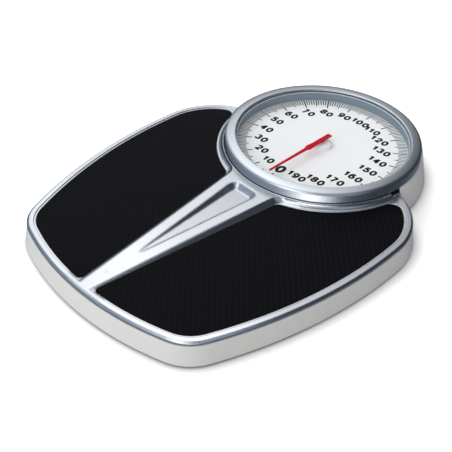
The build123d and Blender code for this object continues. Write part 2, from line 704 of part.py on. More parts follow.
def short_pins():
    tip = short_tip_x()
    inside = long_x(HOOK_Y) - LINK_PIN_INSIDE
    link = rod(inside, tip + LEVER_WIDTH / 2, HOOK_Y, LEVER_PIN_Z, LINK_PIN_RADIUS)
    return [lever_pin(LEVER_X, SHORT_FULCRUM_Y), lever_pin(LEVER_X, SHORT_FULCRUM_Y - LOAD_ARM), link]


def long_lever():
    lever = channel(long_path())
    link = rod(long_x(HOOK_Y), short_tip_x(), HOOK_Y, LEVER_PIN_Z, LINK_PIN_RADIUS + LINK_CLEARANCE)
    lever -= link
    for pin in long_pins():
        lever -= pin
    return lever


def short_lever():
    lever = channel(short_path())
    for pin in short_pins():
        lever -= pin
    return lever


# Nose plate, crank and rack


def finger_place(angle):
    """Where the crank's finger pin is, with the crank turned by angle from level."""
    return (CRANK_Y - FINGER_ARM * math.cos(angle), CRANK_Z + FINGER_ARM * math.sin(angle))


def nose_plate():
    """Upright plate that joins both lever noses to the crank's finger."""
    rest_y, rest_z = finger_place(HALF_SWING)
    mid_y = CRANK_Y - FINGER_ARM
    bottom = rest_z - CRANK_PIN_RADIUS - FINGER_SLOT_CLEARANCE - NOSE_PLATE_BELOW_SLOT
    near = NOSE_Y - LINK_PIN_RADIUS - NOSE_PLATE_BEFORE_PIN
    far = CRANK_Y - AXLE_RADIUS - NOSE_PLATE_AXLE_GAP
    plan = Pos((near + far) / 2, (bottom + NOSE_PLATE_TOP) / 2) * RectangleRounded(
        far - near, NOSE_PLATE_TOP - bottom, NOSE_PLATE_CORNER
    )
    plan -= Pos(NOSE_Y, LEVER_PIN_Z) * Circle(LINK_PIN_RADIUS + LINK_CLEARANCE)
    slot_height = 2 * (CRANK_PIN_RADIUS + FINGER_SLOT_CLEARANCE)
    slot_length = rest_y - mid_y + slot_height
    plan -= Pos((rest_y + mid_y) / 2, rest_z) * Rectangle(slot_length, slot_height)
    half = NOSE_PLATE_THICKNESS / 2
    return side_plate(plan, -half, half)


def arm_outline(length, angle):
    """A rounded arm from the pivot, drawn as (Y, Z), at angle from +Y."""
    arm = Pos(length / 2, 0) * SlotOverall(length + 2 * CHEEK_HALF_WIDTH, 2 * CHEEK_HALF_WIDTH)
    return Pos(CRANK_Y, CRANK_Z) * Rot(0, 0, angle) * arm


def pin_place(length):
    """A point on the crank's upright arm at rest."""
    return (CRANK_Y + length * math.sin(HALF_SWING), CRANK_Z + length * math.cos(HALF_SWING))


def crank_pins():
    """Finger pin, spring pin and rack pin, all along X."""
    outer = CHEEK_INNER + CHEEK_THICKNESS
    finger_y, finger_z = finger_place(HALF_SWING)
    spring_y, spring_z = pin_place(SPRING_ARM)
    rack_y, rack_z = pin_place(CRANK_ARM)
    return [
        rod(-outer, outer, finger_y, finger_z, CRANK_PIN_RADIUS),
        rod(-outer, outer, spring_y, spring_z, CRANK_PIN_RADIUS),
        rod(CHEEK_INNER, EAR_INNER + EAR_THICKNESS + PIN_TIP, rack_y, rack_z, CRANK_PIN_RADIUS),
    ]


def crank():
    """Two cheeks on one axle, joined by a bridge above the axle."""
    upright = 90 - math.degrees(HALF_SWING)
    finger = 180 - math.degrees(HALF_SWING)
    right = arm_outline(CRANK_ARM, upright) + arm_outline(FINGER_ARM, finger)
    left = arm_outline(SPRING_ARM, upright) + arm_outline(FINGER_ARM, finger)
    outer = CHEEK_INNER + CHEEK_THICKNESS
    body = side_plate(right, CHEEK_INNER, outer) + side_plate(left, -outer, -CHEEK_INNER)
    web_y, web_z = pin_place(AXLE_RADIUS + WEB_FROM_AXLE)
    lean = Pos(0, web_y, web_z) * Rot(-math.degrees(HALF_SWING), 0, 0)
    body += lean * Box(2 * outer, WEB_WIDTH, CHEEK_THICKNESS)
    body -= rod(-outer, outer, CRANK_Y, CRANK_Z, AXLE_RADIUS + RUNNING_CLEARANCE)
    for pin in crank_pins():
        body -= pin
    return body


def crank_bracket():
    """Steel bracket with two ears that hold the crank's axle."""
    half = BRACKET_EAR_HALF
    ear_plan = Pos(CRANK_Y, (FLOOR_TOP + CRANK_Z) / 2) * Rectangle(2 * half, CRANK_Z - FLOOR_TOP)
    ear_plan += Pos(CRANK_Y, CRANK_Z) * Circle(AXLE_RADIUS + BRACKET_EAR_RIM)
    ear_plan -= Pos(CRANK_Y, CRANK_Z) * Circle(AXLE_RADIUS)
    outer = BRACKET_EAR_INNER + BRACKET_THICKNESS
    body = side_plate(ear_plan, BRACKET_EAR_INNER, outer)
    body += mirrored(body)
    front, back = CRANK_Y - AXLE_RADIUS, CRANK_Y + half + BRACKET_FOOT_MARGIN
    base = Pos(0, (front + back) / 2, FLOOR_TOP + BRACKET_THICKNESS / 2)
    return body + base * Box(2 * (outer + BRACKET_FOOT_MARGIN), back - front, BRACKET_THICKNESS)


def crank_axle():
    half = CHEEK_INNER + CHEEK_THICKNESS + AXLE_PROUD
    return rod(-half, half, CRANK_Y, CRANK_Z, AXLE_RADIUS)


def rack_tooth(y):
    """One straight-sided tooth pointing to -X at the pitch line."""
    tan = math.tan(math.radians(PRESSURE_ANGLE))
    half = math.pi * MODULE / 4 - BACKLASH / 2
    depth = PINION_ADDENDUM + ROOT_CLEARANCE
    tip, root = half - RACK_ADDENDUM * tan, half + depth * tan
    points = [(PITCH_RADIUS - RACK_ADDENDUM, y - tip), (PITCH_RADIUS - RACK_ADDENDUM, y + tip),
              (PITCH_RADIUS + depth, y + root), (PITCH_RADIUS + depth, y - root)]
    return make_face(Polyline(*points, close=True))


def rack_back():
    return PITCH_RADIUS + PINION_ADDENDUM + ROOT_CLEARANCE


def rack():
    """Toothed bar with an upright ear whose slot takes the crank pin."""
    near = DIAL_Y - RACK_TOOTH_MARGIN
    pin_y, pin_z = pin_place(CRANK_ARM)
    ear_half = CRANK_PIN_RADIUS + SLOT_SIDE_CLEARANCE
    bar_end = CRANK_Y - CRANK_ARM * math.sin(HALF_SWING) - CHEEK_HALF_WIDTH - RACK_END_GAP
    back = rack_back()
    plan = Pos(back + RACK_BACK_WIDTH / 2, (near + bar_end) / 2) * Rectangle(
        RACK_BACK_WIDTH, bar_end - near
    )
    pitch = math.pi * MODULE
    count = int((RACK_TRAVEL + 2 * RACK_TOOTH_MARGIN) / pitch)
    first = -int(RACK_TOOTH_MARGIN / pitch)
    for n in range(first, first + count):
        plan += rack_tooth(DIAL_Y + n * pitch)
    bar = extrude(Pos(0, 0, RACK_BOTTOM) * plan, RACK_THICKNESS)
    outer = EAR_INNER + EAR_THICKNESS
    tab_y0, tab_y1 = bar_end - RACK_TAB_LENGTH, bar_end
    bar += Pos((back + outer) / 2, (tab_y0 + tab_y1) / 2, RACK_BOTTOM + RACK_THICKNESS / 2) * Box(
        outer - back, tab_y1 - tab_y0, RACK_THICKNESS
    )
    low = RACK_BOTTOM
    high = CRANK_Z + CRANK_ARM + ear_half + RACK_EAR_RIM
    ear_end = pin_y + ear_half + RACK_EAR_BEYOND
    ear = Pos((tab_y0 + ear_end) / 2, (low + high) / 2) * RectangleRounded(
        ear_end - tab_y0, high - low, RACK_EAR_RIM
    )
    slot_low = pin_z - ear_half - RACK_THICKNESS
    slot_high = CRANK_Z + CRANK_ARM + ear_half
    slot = Pos(pin_y, (slot_low + slot_high) / 2) * Rectangle(2 * ear_half, slot_high - slot_low)
    return bar + side_plate(ear - slot, EAR_INNER, outer)


# Dial head


def pinion():
    """Involute pinion with a tooth space on the rack's side."""
    base = PITCH_RADIUS * math.cos(math.radians(PRESSURE_ANGLE))
    tip = PITCH_RADIUS + PINION_ADDENDUM
    root = PITCH_RADIUS - RACK_ADDENDUM - ROOT_CLEARANCE
    involute = math.tan(math.radians(PRESSURE_ANGLE)) - math.radians(PRESSURE_ANGLE)
    half_tooth = math.pi / (2 * PINION_TEETH) - BACKLASH / (4 * PITCH_RADIUS)
    start = max(base, root)
    flank = []
    for i in range(FLANK_STEPS + 1):
        r = start + (tip - start) * i / FLANK_STEPS
        alpha = math.acos(min(1.0, base / r))
        angle = half_tooth + involute - (math.tan(alpha) - alpha)
        flank.append((r * math.cos(angle), r * math.sin(angle)))
    low = half_tooth + involute
    foot_in = (0.5 * root * math.cos(low), 0.5 * root * math.sin(low))
    left = Spline(*[(x, y) for x, y in flank])
    right = Spline(*[(x, -y) for x, y in flank])
    tooth = make_face([
        left,
        ThreePointArc(flank[-1], (tip, 0), (flank[-1][0], -flank[-1][1])),
        right,
        Polyline((flank[0][0], -flank[0][1]), (foot_in[0], -foot_in[1]), foot_in, flank[0]),
    ])
    plan = Circle(root)
    for n in range(PINION_TEETH):
        plan += Rot(0, 0, (n + 0.5) * 360 / PINION_TEETH) * tooth
    plan -= Circle(SHAFT_RADIUS)
    return at_dial(z=RACK_BOTTOM) * extrude(plan, RACK_THICKNESS)


def needle_shaft():
    bottom = BRIDGE_TOP - BRIDGE_THICKNESS
    return post(0, DIAL_Y, bottom, NEEDLE_Z + NEEDLE_THICKNESS + PIN_TIP, SHAFT_RADIUS)


def needle():
    """Thin red pointer, broad at the tail. It points to -Y, at zero."""
    broad = -NEEDLE_BROAD_END
    step = NEEDLE_HEEL_STEP
    points = [(NEEDLE_TIP_HALF, -NEEDLE_REACH), (NEEDLE_THIN_HALF, broad - step),
              (NEEDLE_HEEL_HALF, broad), (NEEDLE_HEEL_HALF, broad + step),
              (NEEDLE_BROAD_HALF, broad + 3 * step), (NEEDLE_BROAD_HALF, NEEDLE_TAIL)]
    left = [(-x, y) for x, y in reversed(points)]
    plan = make_face(Polyline(*points, *left, close=True)) - Circle(SHAFT_RADIUS)
    return at_dial(z=NEEDLE_Z) * extrude(plan, NEEDLE_THICKNESS)


def needle_hub():
    """Small bush under the needle that grips the shaft."""
    return ring(SHAFT_RADIUS, NEEDLE_HUB_RADIUS, NEEDLE_Z - NEEDLE_HUB_HEIGHT, NEEDLE_Z)


def bezel():
    """Moulded ring: outer wall, rounded shoulder, flat top and a short inner lip."""
    outer, inner = BEZEL_OUTER_RADIUS, BEZEL_INNER_RADIUS
    shoulder_z = BEZEL_TOP - BEZEL_OUTER_DROP
    wall_in = outer - BEZEL_WALL
    k = BEZEL_SHOULDER * (1 - math.sqrt(0.5))
    edge = BEZEL_INNER_ROUND
    line = Polyline((outer - BEZEL_SHOULDER, shoulder_z), (inner + edge, BEZEL_TOP),
                    (inner, BEZEL_TOP - edge), (inner, LENS_TOP), (wall_in, LENS_TOP),
                    (wall_in, BEZEL_BOTTOM), (outer, BEZEL_BOTTOM), (outer, shoulder_z - BEZEL_SHOULDER))
    shoulder = Polyline((outer, shoulder_z - BEZEL_SHOULDER), (outer - k, shoulder_z - k),
                        (outer - BEZEL_SHOULDER, shoulder_z))
    return at_dial() * revolve(Plane.XZ * make_face(line + shoulder), Axis.Z)


def drum_inner():
    """Radius of the drum's bore, less the play of the parts that drop into it."""
    return DRUM_RADIUS - DRUM_WALL - SEAT_CLEARANCE


def drum():
    """Round cup that holds face, spacer and lens."""
    inner = DRUM_RADIUS - DRUM_WALL
    points = [(BUSH_RADIUS, DRUM_FLOOR_BOTTOM), (DRUM_RADIUS, DRUM_FLOOR_BOTTOM),
              (DRUM_RADIUS, LENS_TOP), (inner, LENS_TOP), (inner, DRUM_FLOOR_TOP),
              (BUSH_RADIUS, DRUM_FLOOR_TOP)]
    body = at_dial() * revolve(Plane.XZ * make_face(Polyline(*points, close=True)), Axis.Z)
    for x, y in towers() + standoff_places():
        body -= screw_rod(x, y, DRUM_FLOOR_BOTTOM, DRUM_FLOOR_TOP, SCREW_RADIUS)
    return body


def face():
    """Printed sheet, a flat disc with a hole for the shaft's bush."""
    return ring(BUSH_RADIUS + BUSH_HOLE_CLEARANCE, drum_inner(), DRUM_FLOOR_TOP, FACE_TOP)


def boss():
    """Round white cover over the shaft bush."""
    hollow = BUSH_RADIUS + BUSH_FLANGE
    hole = SHAFT_RADIUS + BOSS_SHAFT_GAP
    top = FACE_TOP + BOSS_HEIGHT
    under = top - BOSS_SKIN
    points = [(BOSS_RADIUS - BOSS_EDGE, top), (hole, top), (hole, under), (hollow, under),
              (hollow, FACE_TOP), (BOSS_RADIUS, FACE_TOP), (BOSS_RADIUS, top - BOSS_EDGE)]
    return at_dial() * revolve(Plane.XZ * make_face(Polyline(*points, close=True)), Axis.Z)


def spacer():
    """Deep ring between face and lens, hollow behind its wall and flanges."""
    inner = BEZEL_INNER_RADIUS - SPACER_REVEAL
    back = inner + SPACER_WALL
    low, high = FACE_TOP + SPACER_WALL, LENS_BOTTOM - SPACER_WALL
    return ring(inner, drum_inner(), FACE_TOP, LENS_BOTTOM) - ring(back, DRUM_RADIUS, low, high)


def lens():
    return at_dial(z=LENS_BOTTOM) * extrude(Circle(drum_inner()), LENS_THICKNESS)


def shaft_bush():
    bottom = DRUM_FLOOR_BOTTOM - BUSH_FLANGE
    bush = ring(SHAFT_RADIUS + RUNNING_CLEARANCE, BUSH_RADIUS, bottom, FACE_TOP + BUSH_ABOVE_FACE)
    return bush + ring(BUSH_RADIUS, BUSH_RADIUS + BUSH_FLANGE, bottom, DRUM_FLOOR_BOTTOM)


def standoff_places():
    return [(sx * STANDOFF_X, DIAL_Y + sy * STANDOFF_Y) for sx in (-1, 1) for sy in (-1, 1)]


def bridge_plate():
    """Steel plate under the drum that carries the shaft's foot and the rack."""
    plan = RectangleRounded(2 * BRIDGE_HALF_WIDTH, 2 * BRIDGE_HALF_LENGTH, BRIDGE_CORNER_RADIUS)
    plan -= Circle(SHAFT_RADIUS + RUNNING_CLEARANCE)
    plate = at_dial(z=BRIDGE_TOP - BRIDGE_THICKNESS) * extrude(plan, BRIDGE_THICKNESS)
    for x, y in standoff_places():
        plate -= screw_rod(x, y, BRIDGE_TOP - BRIDGE_THICKNESS, BRIDGE_TOP, SCREW_RADIUS)
    return plate


def standoffs():
    return [
        post(x, y, BRIDGE_TOP, DRUM_FLOOR_BOTTOM, STANDOFF_RADIUS)
        - screw_rod(x, y, BRIDGE_TOP, DRUM_FLOOR_BOTTOM, SCREW_RADIUS)
        for x, y in standoff_places()
    ]


def bridge_screws():
    bottom = BRIDGE_TOP - BRIDGE_THICKNESS
    return [
        screw_rod(x, y, bottom, DRUM_FLOOR_TOP, SCREW_RADIUS)
        + screw_rod(x, y, bottom - SCREW_HEAD_HEIGHT, bottom, SCREW_HEAD_RADIUS)
        for x, y in standoff_places()
    ]


def rack_guide():
    """Low block behind the rack that keeps it in mesh, with a rail that carries it."""
    back = rack_back() + RACK_BACK_WIDTH + RUNNING_CLEARANCE
    top = RACK_BOTTOM + RACK_THICKNESS + GUIDE_ABOVE_RACK
    wall = Pos(back + GUIDE_WALL / 2, DIAL_Y, (BRIDGE_TOP + top) / 2) * Box(
        GUIDE_WALL, GUIDE_LENGTH, top - BRIDGE_TOP
    )
    rail_top = RACK_BOTTOM - RUNNING_CLEARANCE
    rail = Pos(back - GUIDE_RAIL / 2, DIAL_Y, (BRIDGE_TOP + rail_top) / 2) * Box(
        GUIDE_RAIL, GUIDE_LENGTH, rail_top - BRIDGE_TOP
    )
    return wall + rail


def drum_screws():
    """Screws from below the housing, up the towers and into the drum."""
    return [
        screw_rod(x, y, FOOT_HEIGHT, DRUM_FLOOR_TOP, SCREW_RADIUS)
        + screw_rod(x, y, FOOT_HEIGHT, FOOT_HEIGHT + SCREW_HEAD_HEIGHT, SCREW_HEAD_RADIUS)
        for x, y in towers()
    ]


# Main spring and zero adjuster


def hook_reach():
    """From the middle of a pin to the plane of the spring's straight lead."""
    slack = HOOK_RADIUS - SPRING_WIRE_RADIUS - CRANK_PIN_RADIUS - RUNNING_CLEARANCE
    return slack + HOOK_RADIUS + 2 * SPRING_WIRE_RADIUS


def coil_path():
    """The coil's turns, which start at the crank's end of the spring."""
    return Rot(-90, 0, 0) * Helix(SPRING_PITCH, SPRING_TURNS * SPRING_PITCH, SPRING_MEAN_RADIUS)


def lead_end(path, end, direction):
    """Where the wire's straight lead stops beyond one end of the coil."""
    return path @ end + (path % end) * direction * SPRING_LEAD


def wire_section():
    """The wire's section, drawn with a few flats inside its round."""
    return RegularPolygon(SPRING_WIRE_RADIUS, SPRING_FLATS)


def wire(start, end):
    """A straight length of the spring's wire, which runs on through the bend at either end."""
    line = (end - start).normalized()
    overlap = line * (SPRING_WIRE_RADIUS / 2)
    first = start - overlap
    length = (end + overlap - first).length
    return extrude(Plane(origin=first, z_dir=line) * wire_section(), length)


def hook(path, end, direction):
    """Straight lead, arm to the middle and an eye round the pin."""
    corner = lead_end(path, end, direction)
    middle = Vector(0, corner.Y, 0)
    neck = middle + Vector(0, direction * 2 * SPRING_WIRE_RADIUS, 0)
    eye_y = neck.Y + direction * HOOK_RADIUS
    round_wire = revolve(Plane.XZ * Pos(HOOK_RADIUS, 0) * wire_section(), Axis.Z)
    eye = Pos(0, eye_y, 0) * Rot(0, 90, 0) * round_wire
    return wire(path @ end, corner) + wire(corner, middle) + wire(middle, neck) + eye


def spring_start_y():
    """Where the coil's first turn starts, so that the near eye is round the crank's pin."""
    return SPRING_PIN_Y + hook_reach() - lead_end(coil_path(), 0, -1).Y


def anchor_y():
    """Where the spring's far hook holds on to the adjuster's pin."""
    return spring_start_y() + lead_end(coil_path(), 1, 1).Y + hook_reach()


def least_gap(path):
    """The least air between one turn of the wire and the next, measured on points."""
    points = [path @ (i / 180) for i in range(181)]
    apart = 180 // SPRING_TURNS - 4
    pairs = [(a, b) for i, a in enumerate(points) for b in points[i + apart:]]
    return min((a - b).length for a, b in pairs) - 2 * SPRING_WIRE_RADIUS


def main_spring():
    """Extension spring between the crank and the adjuster."""
    path = coil_path()
    section = Plane(origin=path @ 0, z_dir=path % 0) * wire_section()
    coil = sweep(section, path=path, is_frenet=True)
    coil += hook(path, 0, -1)
    coil += hook(path, 1, 1)
    print("least gap between the spring's turns", round(least_gap(path), 2))
    return Pos(0, spring_start_y(), SPRING_Z) * coil


def nut_y():
    return anchor_y() + NUT_FROM_PIN + NUT_LENGTH / 2


def zero_nut():
    """Square nut with two ears and a pin for the spring's far hook."""
    body = Pos(0, nut_y(), SPRING_Z) * Box(2 * NUT_HALF_WIDTH, NUT_LENGTH, 2 * NUT_HALF_HEIGHT)
    ear_x0, ear_x1 = NUT_HALF_WIDTH - NUT_EAR_THICKNESS, NUT_HALF_WIDTH
    ear_front = anchor_y() - NUT_EAR_RIM
    ear_back = nut_y() - NUT_LENGTH / 2
    ear = Pos((ear_x0 + ear_x1) / 2, (ear_front + ear_back) / 2, SPRING_Z) * Box(
        ear_x1 - ear_x0, ear_back - ear_front, NUT_EAR_HEIGHT
    )
    body += ear + mirrored(ear)
    body += rod(-ear_x1, ear_x1, anchor_y(), SPRING_Z, CRANK_PIN_RADIUS)
    hole = Pos(0, nut_y(), SPRING_Z) * Rot(90, 0, 0)
    return body - hole * Cylinder(SCREW_SHANK_RADIUS + RUNNING_CLEARANCE, NUT_LENGTH)


def bracket_back_y():
    return nut_y() + NUT_LENGTH / 2 + ADJUST_TRAVEL + NUT_END_GAP


def spring_bracket():
    """Steel channel that guides the nut and takes the pull of the screw's shoulder."""
    t = BRACKET_THICKNESS
    inner = NUT_HALF_WIDTH + NUT_CLEARANCE
    front, back = nut_y() - NUT_LENGTH / 2, bracket_back_y()
    top = SPRING_Z + NUT_HALF_HEIGHT + GUIDE_ABOVE_NUT
    middle, length = (front + back) / 2, back - front
    wall = Pos(inner + t / 2, middle, (FLOOR_TOP + top) / 2) * Box(t, length, top - FLOOR_TOP)
    body = wall + mirrored(wall)
    body += Pos(0, middle, FLOOR_TOP + t / 2) * Box(2 * (inner + t), length, t)
    plate = Pos(0, back + t / 2, (FLOOR_TOP + top) / 2) * Box(2 * (inner + t), t, top - FLOOR_TOP)
    hole = Pos(0, back + t / 2, SPRING_Z) * Rot(90, 0, 0)
    return body + plate - hole * Cylinder(SCREW_SHANK_RADIUS + RUNNING_CLEARANCE, t)


def knob_front_y():
    return bracket_back_y() + BRACKET_THICKNESS + RUNNING_CLEARANCE


def zero_screw():
    start = nut_y() - NUT_LENGTH / 2 + ADJUST_TRAVEL
    end = knob_front_y() + SCREW_IN_KNOB
    place = Pos(0, (start + end) / 2, SPRING_Z) * Rot(90, 0, 0)
    return place * Cylinder(SCREW_SHANK_RADIUS, end - start)


def zero_knob():
    """Ridged knob that stands a little proud of the housing's back."""
    back = DIAL_Y + lobe_radius(SPRING_Z) + KNOB_PROUD
    step = math.pi / KNOB_RIDGES
    points = []
    for n in range(KNOB_RIDGES):
        for side, radius in ((0, KNOB_RADIUS), (1, KNOB_RADIUS - KNOB_RIDGE_DEPTH)):
            angle = (2 * n + side) * step
            points.append((radius * math.cos(angle), radius * math.sin(angle)))
    plan = make_face(Polyline(*points, close=True))
    length = back - knob_front_y()
    body = Pos(0, back, SPRING_Z) * Rot(90, 0, 0) * extrude(plan, length)
    return body - zero_screw()


def build():
    parts = {
        "housing": housing(),
        "tread_plate": tread_plate(),
        "silver_frame": silver_frame(),
        "mat_right": mat(),
        "frame_screws": frame_screws(),
        "nose_plate": nose_plate(),
        "crank": crank(),
        "crank_pins": crank_pins(),
        "crank_bracket": crank_bracket(),
        "crank_axle": crank_axle(),
        "rack": rack(),
        "pinion": pinion(),
        "needle_shaft": needle_shaft(),
        "needle": needle(),
        "needle_hub": needle_hub(),
        "bezel": bezel(),
        "dial_drum": drum(),
        "dial_face": face(),
        "face_boss": boss(),
        "lens_spacer": spacer(),
        "lens": lens(),
        "shaft_bush": shaft_bush(),
        "bridge_plate": bridge_plate(),
        "bridge_standoffs": standoffs(),
        "bridge_screws": bridge_screws(),
        "rack_guide": rack_guide(),
        "drum_screws": drum_screws(),
        "main_spring": main_spring(),
        "zero_nut": zero_nut(),
        "spring_bracket": spring_bracket(),
        "zero_screw": zero_screw(),
        "zero_knob": zero_knob(),
        "long_lever_right": long_lever(),
        "long_lever_pins_right": long_pins(),
        "short_lever_right": short_lever(),
        "short_lever_pins_right": short_pins(),
    }
    for name in [n for n in parts if n.endswith("_right")]:
        shape = parts[name]
        twin = [mirrored(s) for s in shape] if isinstance(shape, list) else mirrored(shape)
        parts[name.replace("_right", "_left")] = twin
    arms = {LONG_FULCRUM_Y: LOAD_ARM, SHORT_FULCRUM_Y: -LOAD_ARM}
    for place, (x, y) in foot_places().items():
        parts[f"foot_{place}"] = foot(x, y)
        parts[f"fulcrum_post_{place}"] = fulcrum_post(x, y)
        parts[f"load_post_{place}"] = load_post(x, y + arms[y])
    return parts


def as_one(shape):
    """A node with several separate pieces is written as one group."""
    if isinstance(shape, list):
        return Compound(children=[Compound(s.solids()) for s in shape])
    return Compound(shape.solids())


os.makedirs("parts", exist_ok=True)
for node, shape in build().items():
    export_step(as_one(shape), f"parts/{node}.step")
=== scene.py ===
# %% [markdown]
# A bathroom scale in Blender
# This lesson dresses a mechanical bathroom scale with a large round dial. The shapes come from
# a CAD model that is loaded first and never moved. Blender gives each part its finish, and adds
# what a CAD model leaves out: the printed marks and numbers, the studs of the rubber mats and
# the soft edges of the silver ring. The last cells build a plain studio and the camera.

# %% Load the scale
import bpy
import json
import math
from mathutils import Matrix, Vector


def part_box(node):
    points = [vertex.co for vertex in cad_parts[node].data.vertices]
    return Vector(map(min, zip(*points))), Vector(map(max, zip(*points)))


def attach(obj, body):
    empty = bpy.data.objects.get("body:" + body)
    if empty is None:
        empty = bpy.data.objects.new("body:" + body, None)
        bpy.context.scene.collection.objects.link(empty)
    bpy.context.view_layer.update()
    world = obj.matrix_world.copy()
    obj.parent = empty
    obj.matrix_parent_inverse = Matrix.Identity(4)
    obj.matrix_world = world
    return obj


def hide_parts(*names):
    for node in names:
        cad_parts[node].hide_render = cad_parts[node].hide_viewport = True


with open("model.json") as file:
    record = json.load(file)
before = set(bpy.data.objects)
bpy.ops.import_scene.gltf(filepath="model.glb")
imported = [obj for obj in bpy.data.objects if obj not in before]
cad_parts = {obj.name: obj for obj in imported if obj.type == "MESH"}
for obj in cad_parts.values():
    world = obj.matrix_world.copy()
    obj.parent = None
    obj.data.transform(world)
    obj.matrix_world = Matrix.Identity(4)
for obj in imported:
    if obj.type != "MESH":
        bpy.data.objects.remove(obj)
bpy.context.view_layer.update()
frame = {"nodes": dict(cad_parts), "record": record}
nodes = frame["nodes"]
MM = 0.001

# %% [markdown]
# Where things are
# The dial's middle and the height of its face are read from the parts themselves. Everything
# that is added to the dial is placed from these few numbers. They could be typed in, but then
# the marks and the needle would stay behind when the CAD model changes.

# %% Read the dial's place
lens_low, lens_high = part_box("lens")
dial = Vector(((lens_low.x + lens_high.x) / 2, (lens_low.y + lens_high.y) / 2, 0))
FACE_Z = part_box("dial_face")[1].z
print("dial at", [round(v / MM, 1) for v in dial], "face at", round(FACE_Z / MM, 2))

# %% [markdown]
# Small tools for materials
# A material is a little network of nodes. It could be drawn by hand in the shader editor. In a
# script, two helpers are enough: one makes a node and sets its values, the other joins two
# sockets. Each finish below then reads as a short recipe.

# %% Node helpers
def add(tree, kind, values=None, **settings):
    """A node with settings, and values for its input sockets by name or number."""
    node = tree.nodes.new("ShaderNode" + kind)
    for name, value in settings.items():
        setattr(node, name, value)
    for key, value in (values or {}).items():
        node.inputs[key].default_value = value
    return node


def join(tree, source, target):
    tree.links.new(source, target)


print("a node is made with", add.__name__, "and its sockets are joined with", join.__name__)

# %% [markdown]
# Node groups
# An effect that many finishes share is built once, as a node group. The group's sockets are the
# knobs that each finish turns for itself. One change in the group then reaches all of them.

# %% Group helper
def new_group(name, inputs, outputs):
    """A shader node group. Inputs are (name, kind, value), outputs are (name, kind)."""
    group = bpy.data.node_groups.new(name, "ShaderNodeTree")
    for label, kind, value in inputs:
        socket = group.interface.new_socket(label, in_out="INPUT", socket_type="NodeSocket" + kind)
        socket.default_value = value
    for label, kind in outputs:
        group.interface.new_socket(label, in_out="OUTPUT", socket_type="NodeSocket" + kind)
    return group, group.nodes.new("NodeGroupInput"), group.nodes.new("NodeGroupOutput")


print("groups are made with", new_group.__name__)

# %% [markdown]
# Handling marks
# A scale that has been handled is never evenly shiny. Soft smudges change its gloss, and a very
# fine grain breaks up the reflections. A photograph of smudges could be laid over the parts, but
# noise has no seams and needs no unwrapping. The group gives back a roughness and a height.

# %% Build the handling group
def build_handling():
    group, given, out = new_group(
        "handling",
        [("Roughness", "Float", 0.4), ("Smudge", "Float", 0.1), ("Smudge Scale", "Float", 18.0),
         ("Grain Scale", "Float", 900.0), ("Grain", "Float", 0.5)],
        [("Roughness", "Float"), ("Height", "Float")],
    )
    place = add(group, "TexCoord")
    smudge = add(group, "TexNoise", {"Detail": 3.0, "Roughness": 0.55})
    grain = add(group, "TexNoise", {"Detail": 2.0, "Roughness": 0.6})
    join(group, place.outputs["Object"], smudge.inputs["Vector"])
    join(group, place.outputs["Object"], grain.inputs["Vector"])
    join(group, given.outputs["Smudge Scale"], smudge.inputs["Scale"])
    join(group, given.outputs["Grain Scale"], grain.inputs["Scale"])
    centred = add(group, "Math", {1: 0.5}, operation="SUBTRACT")
    join(group, smudge.outputs["Fac"], centred.inputs[0])
    change = add(group, "Math", operation="MULTIPLY")
    join(group, centred.outputs[0], change.inputs[0])
    join(group, given.outputs["Smudge"], change.inputs[1])
    total = add(group, "Math", operation="ADD", use_clamp=True)
    join(group, given.outputs["Roughness"], total.inputs[0])
    join(group, change.outputs[0], total.inputs[1])
    height = add(group, "Math", operation="MULTIPLY")
    join(group, grain.outputs["Fac"], height.inputs[0])
    join(group, given.outputs["Grain"], height.inputs[1])
    join(group, total.outputs[0], out.inputs["Roughness"])
    join(group, height.outputs[0], out.inputs["Height"])
    return group


handling = build_handling()
print("group", handling.name, "has", len(handling.nodes), "nodes")

# %% [markdown]
# Soft edges
# A moulded edge is never quite sharp, and the thin line of light on it tells the eye what the
# thing is made of. A Bevel modifier would cut new faces into the CAD shape. The Bevel node
# rounds only the light on the edge. A Bump node does the same for a surface that falls away.

# %% Round the light on edges
SOFT_EDGE = 1.4 * MM


def soft_edges(tree, radius=None):
    """Surface direction with rounded edges. A socket may give the radius."""
    rounding = add(tree, "Bevel", {"Radius": SOFT_EDGE}, samples=6)
    if radius:
        join(tree, radius, rounding.inputs["Radius"])
    return rounding.outputs["Normal"]


def falling(tree, measure, start, end, power, depth, normal):
    """Surface direction of a top that falls by depth, while measure goes from start to end."""
    across = add(tree, "MapRange", {"From Min": start, "From Max": end})
    join(tree, measure, across.inputs["Value"])
    fall = add(tree, "Math", {1: power}, operation="POWER")
    join(tree, across.outputs["Result"], fall.inputs[0])
    height = add(tree, "Math", {0: 1.0}, operation="SUBTRACT")
    join(tree, fall.outputs[0], height.inputs[1])
    bump = add(tree, "Bump", {"Strength": 1.0, "Distance": depth})
    join(tree, height.outputs[0], bump.inputs["Height"])
    join(tree, normal, bump.inputs["Normal"])
    return bump.outputs["Normal"]


print("soft edges of", round(SOFT_EDGE / MM, 1), "mm")

# %% [markdown]
# The ring's crown
# The silver ring round the dial has a slight crown: its top falls away towards its outside, so
# each side of it shows another part of the room. The fall is measured from the dial's axis. The
# ring's wall leans back a little for the light, as a wall that stands straight shows only floor.

# %% Shape the light on the ring
bezel_low, bezel_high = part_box("bezel")
bezel_radius = (bezel_high.x - bezel_low.x) / 2
RING_INNER, PAST_EDGE = 90.4 * MM, 0.3 * MM
CROWN_DEPTH, CROWN_CURVE, WALL_LEAN = 2.2 * MM, 1.7, 0.55


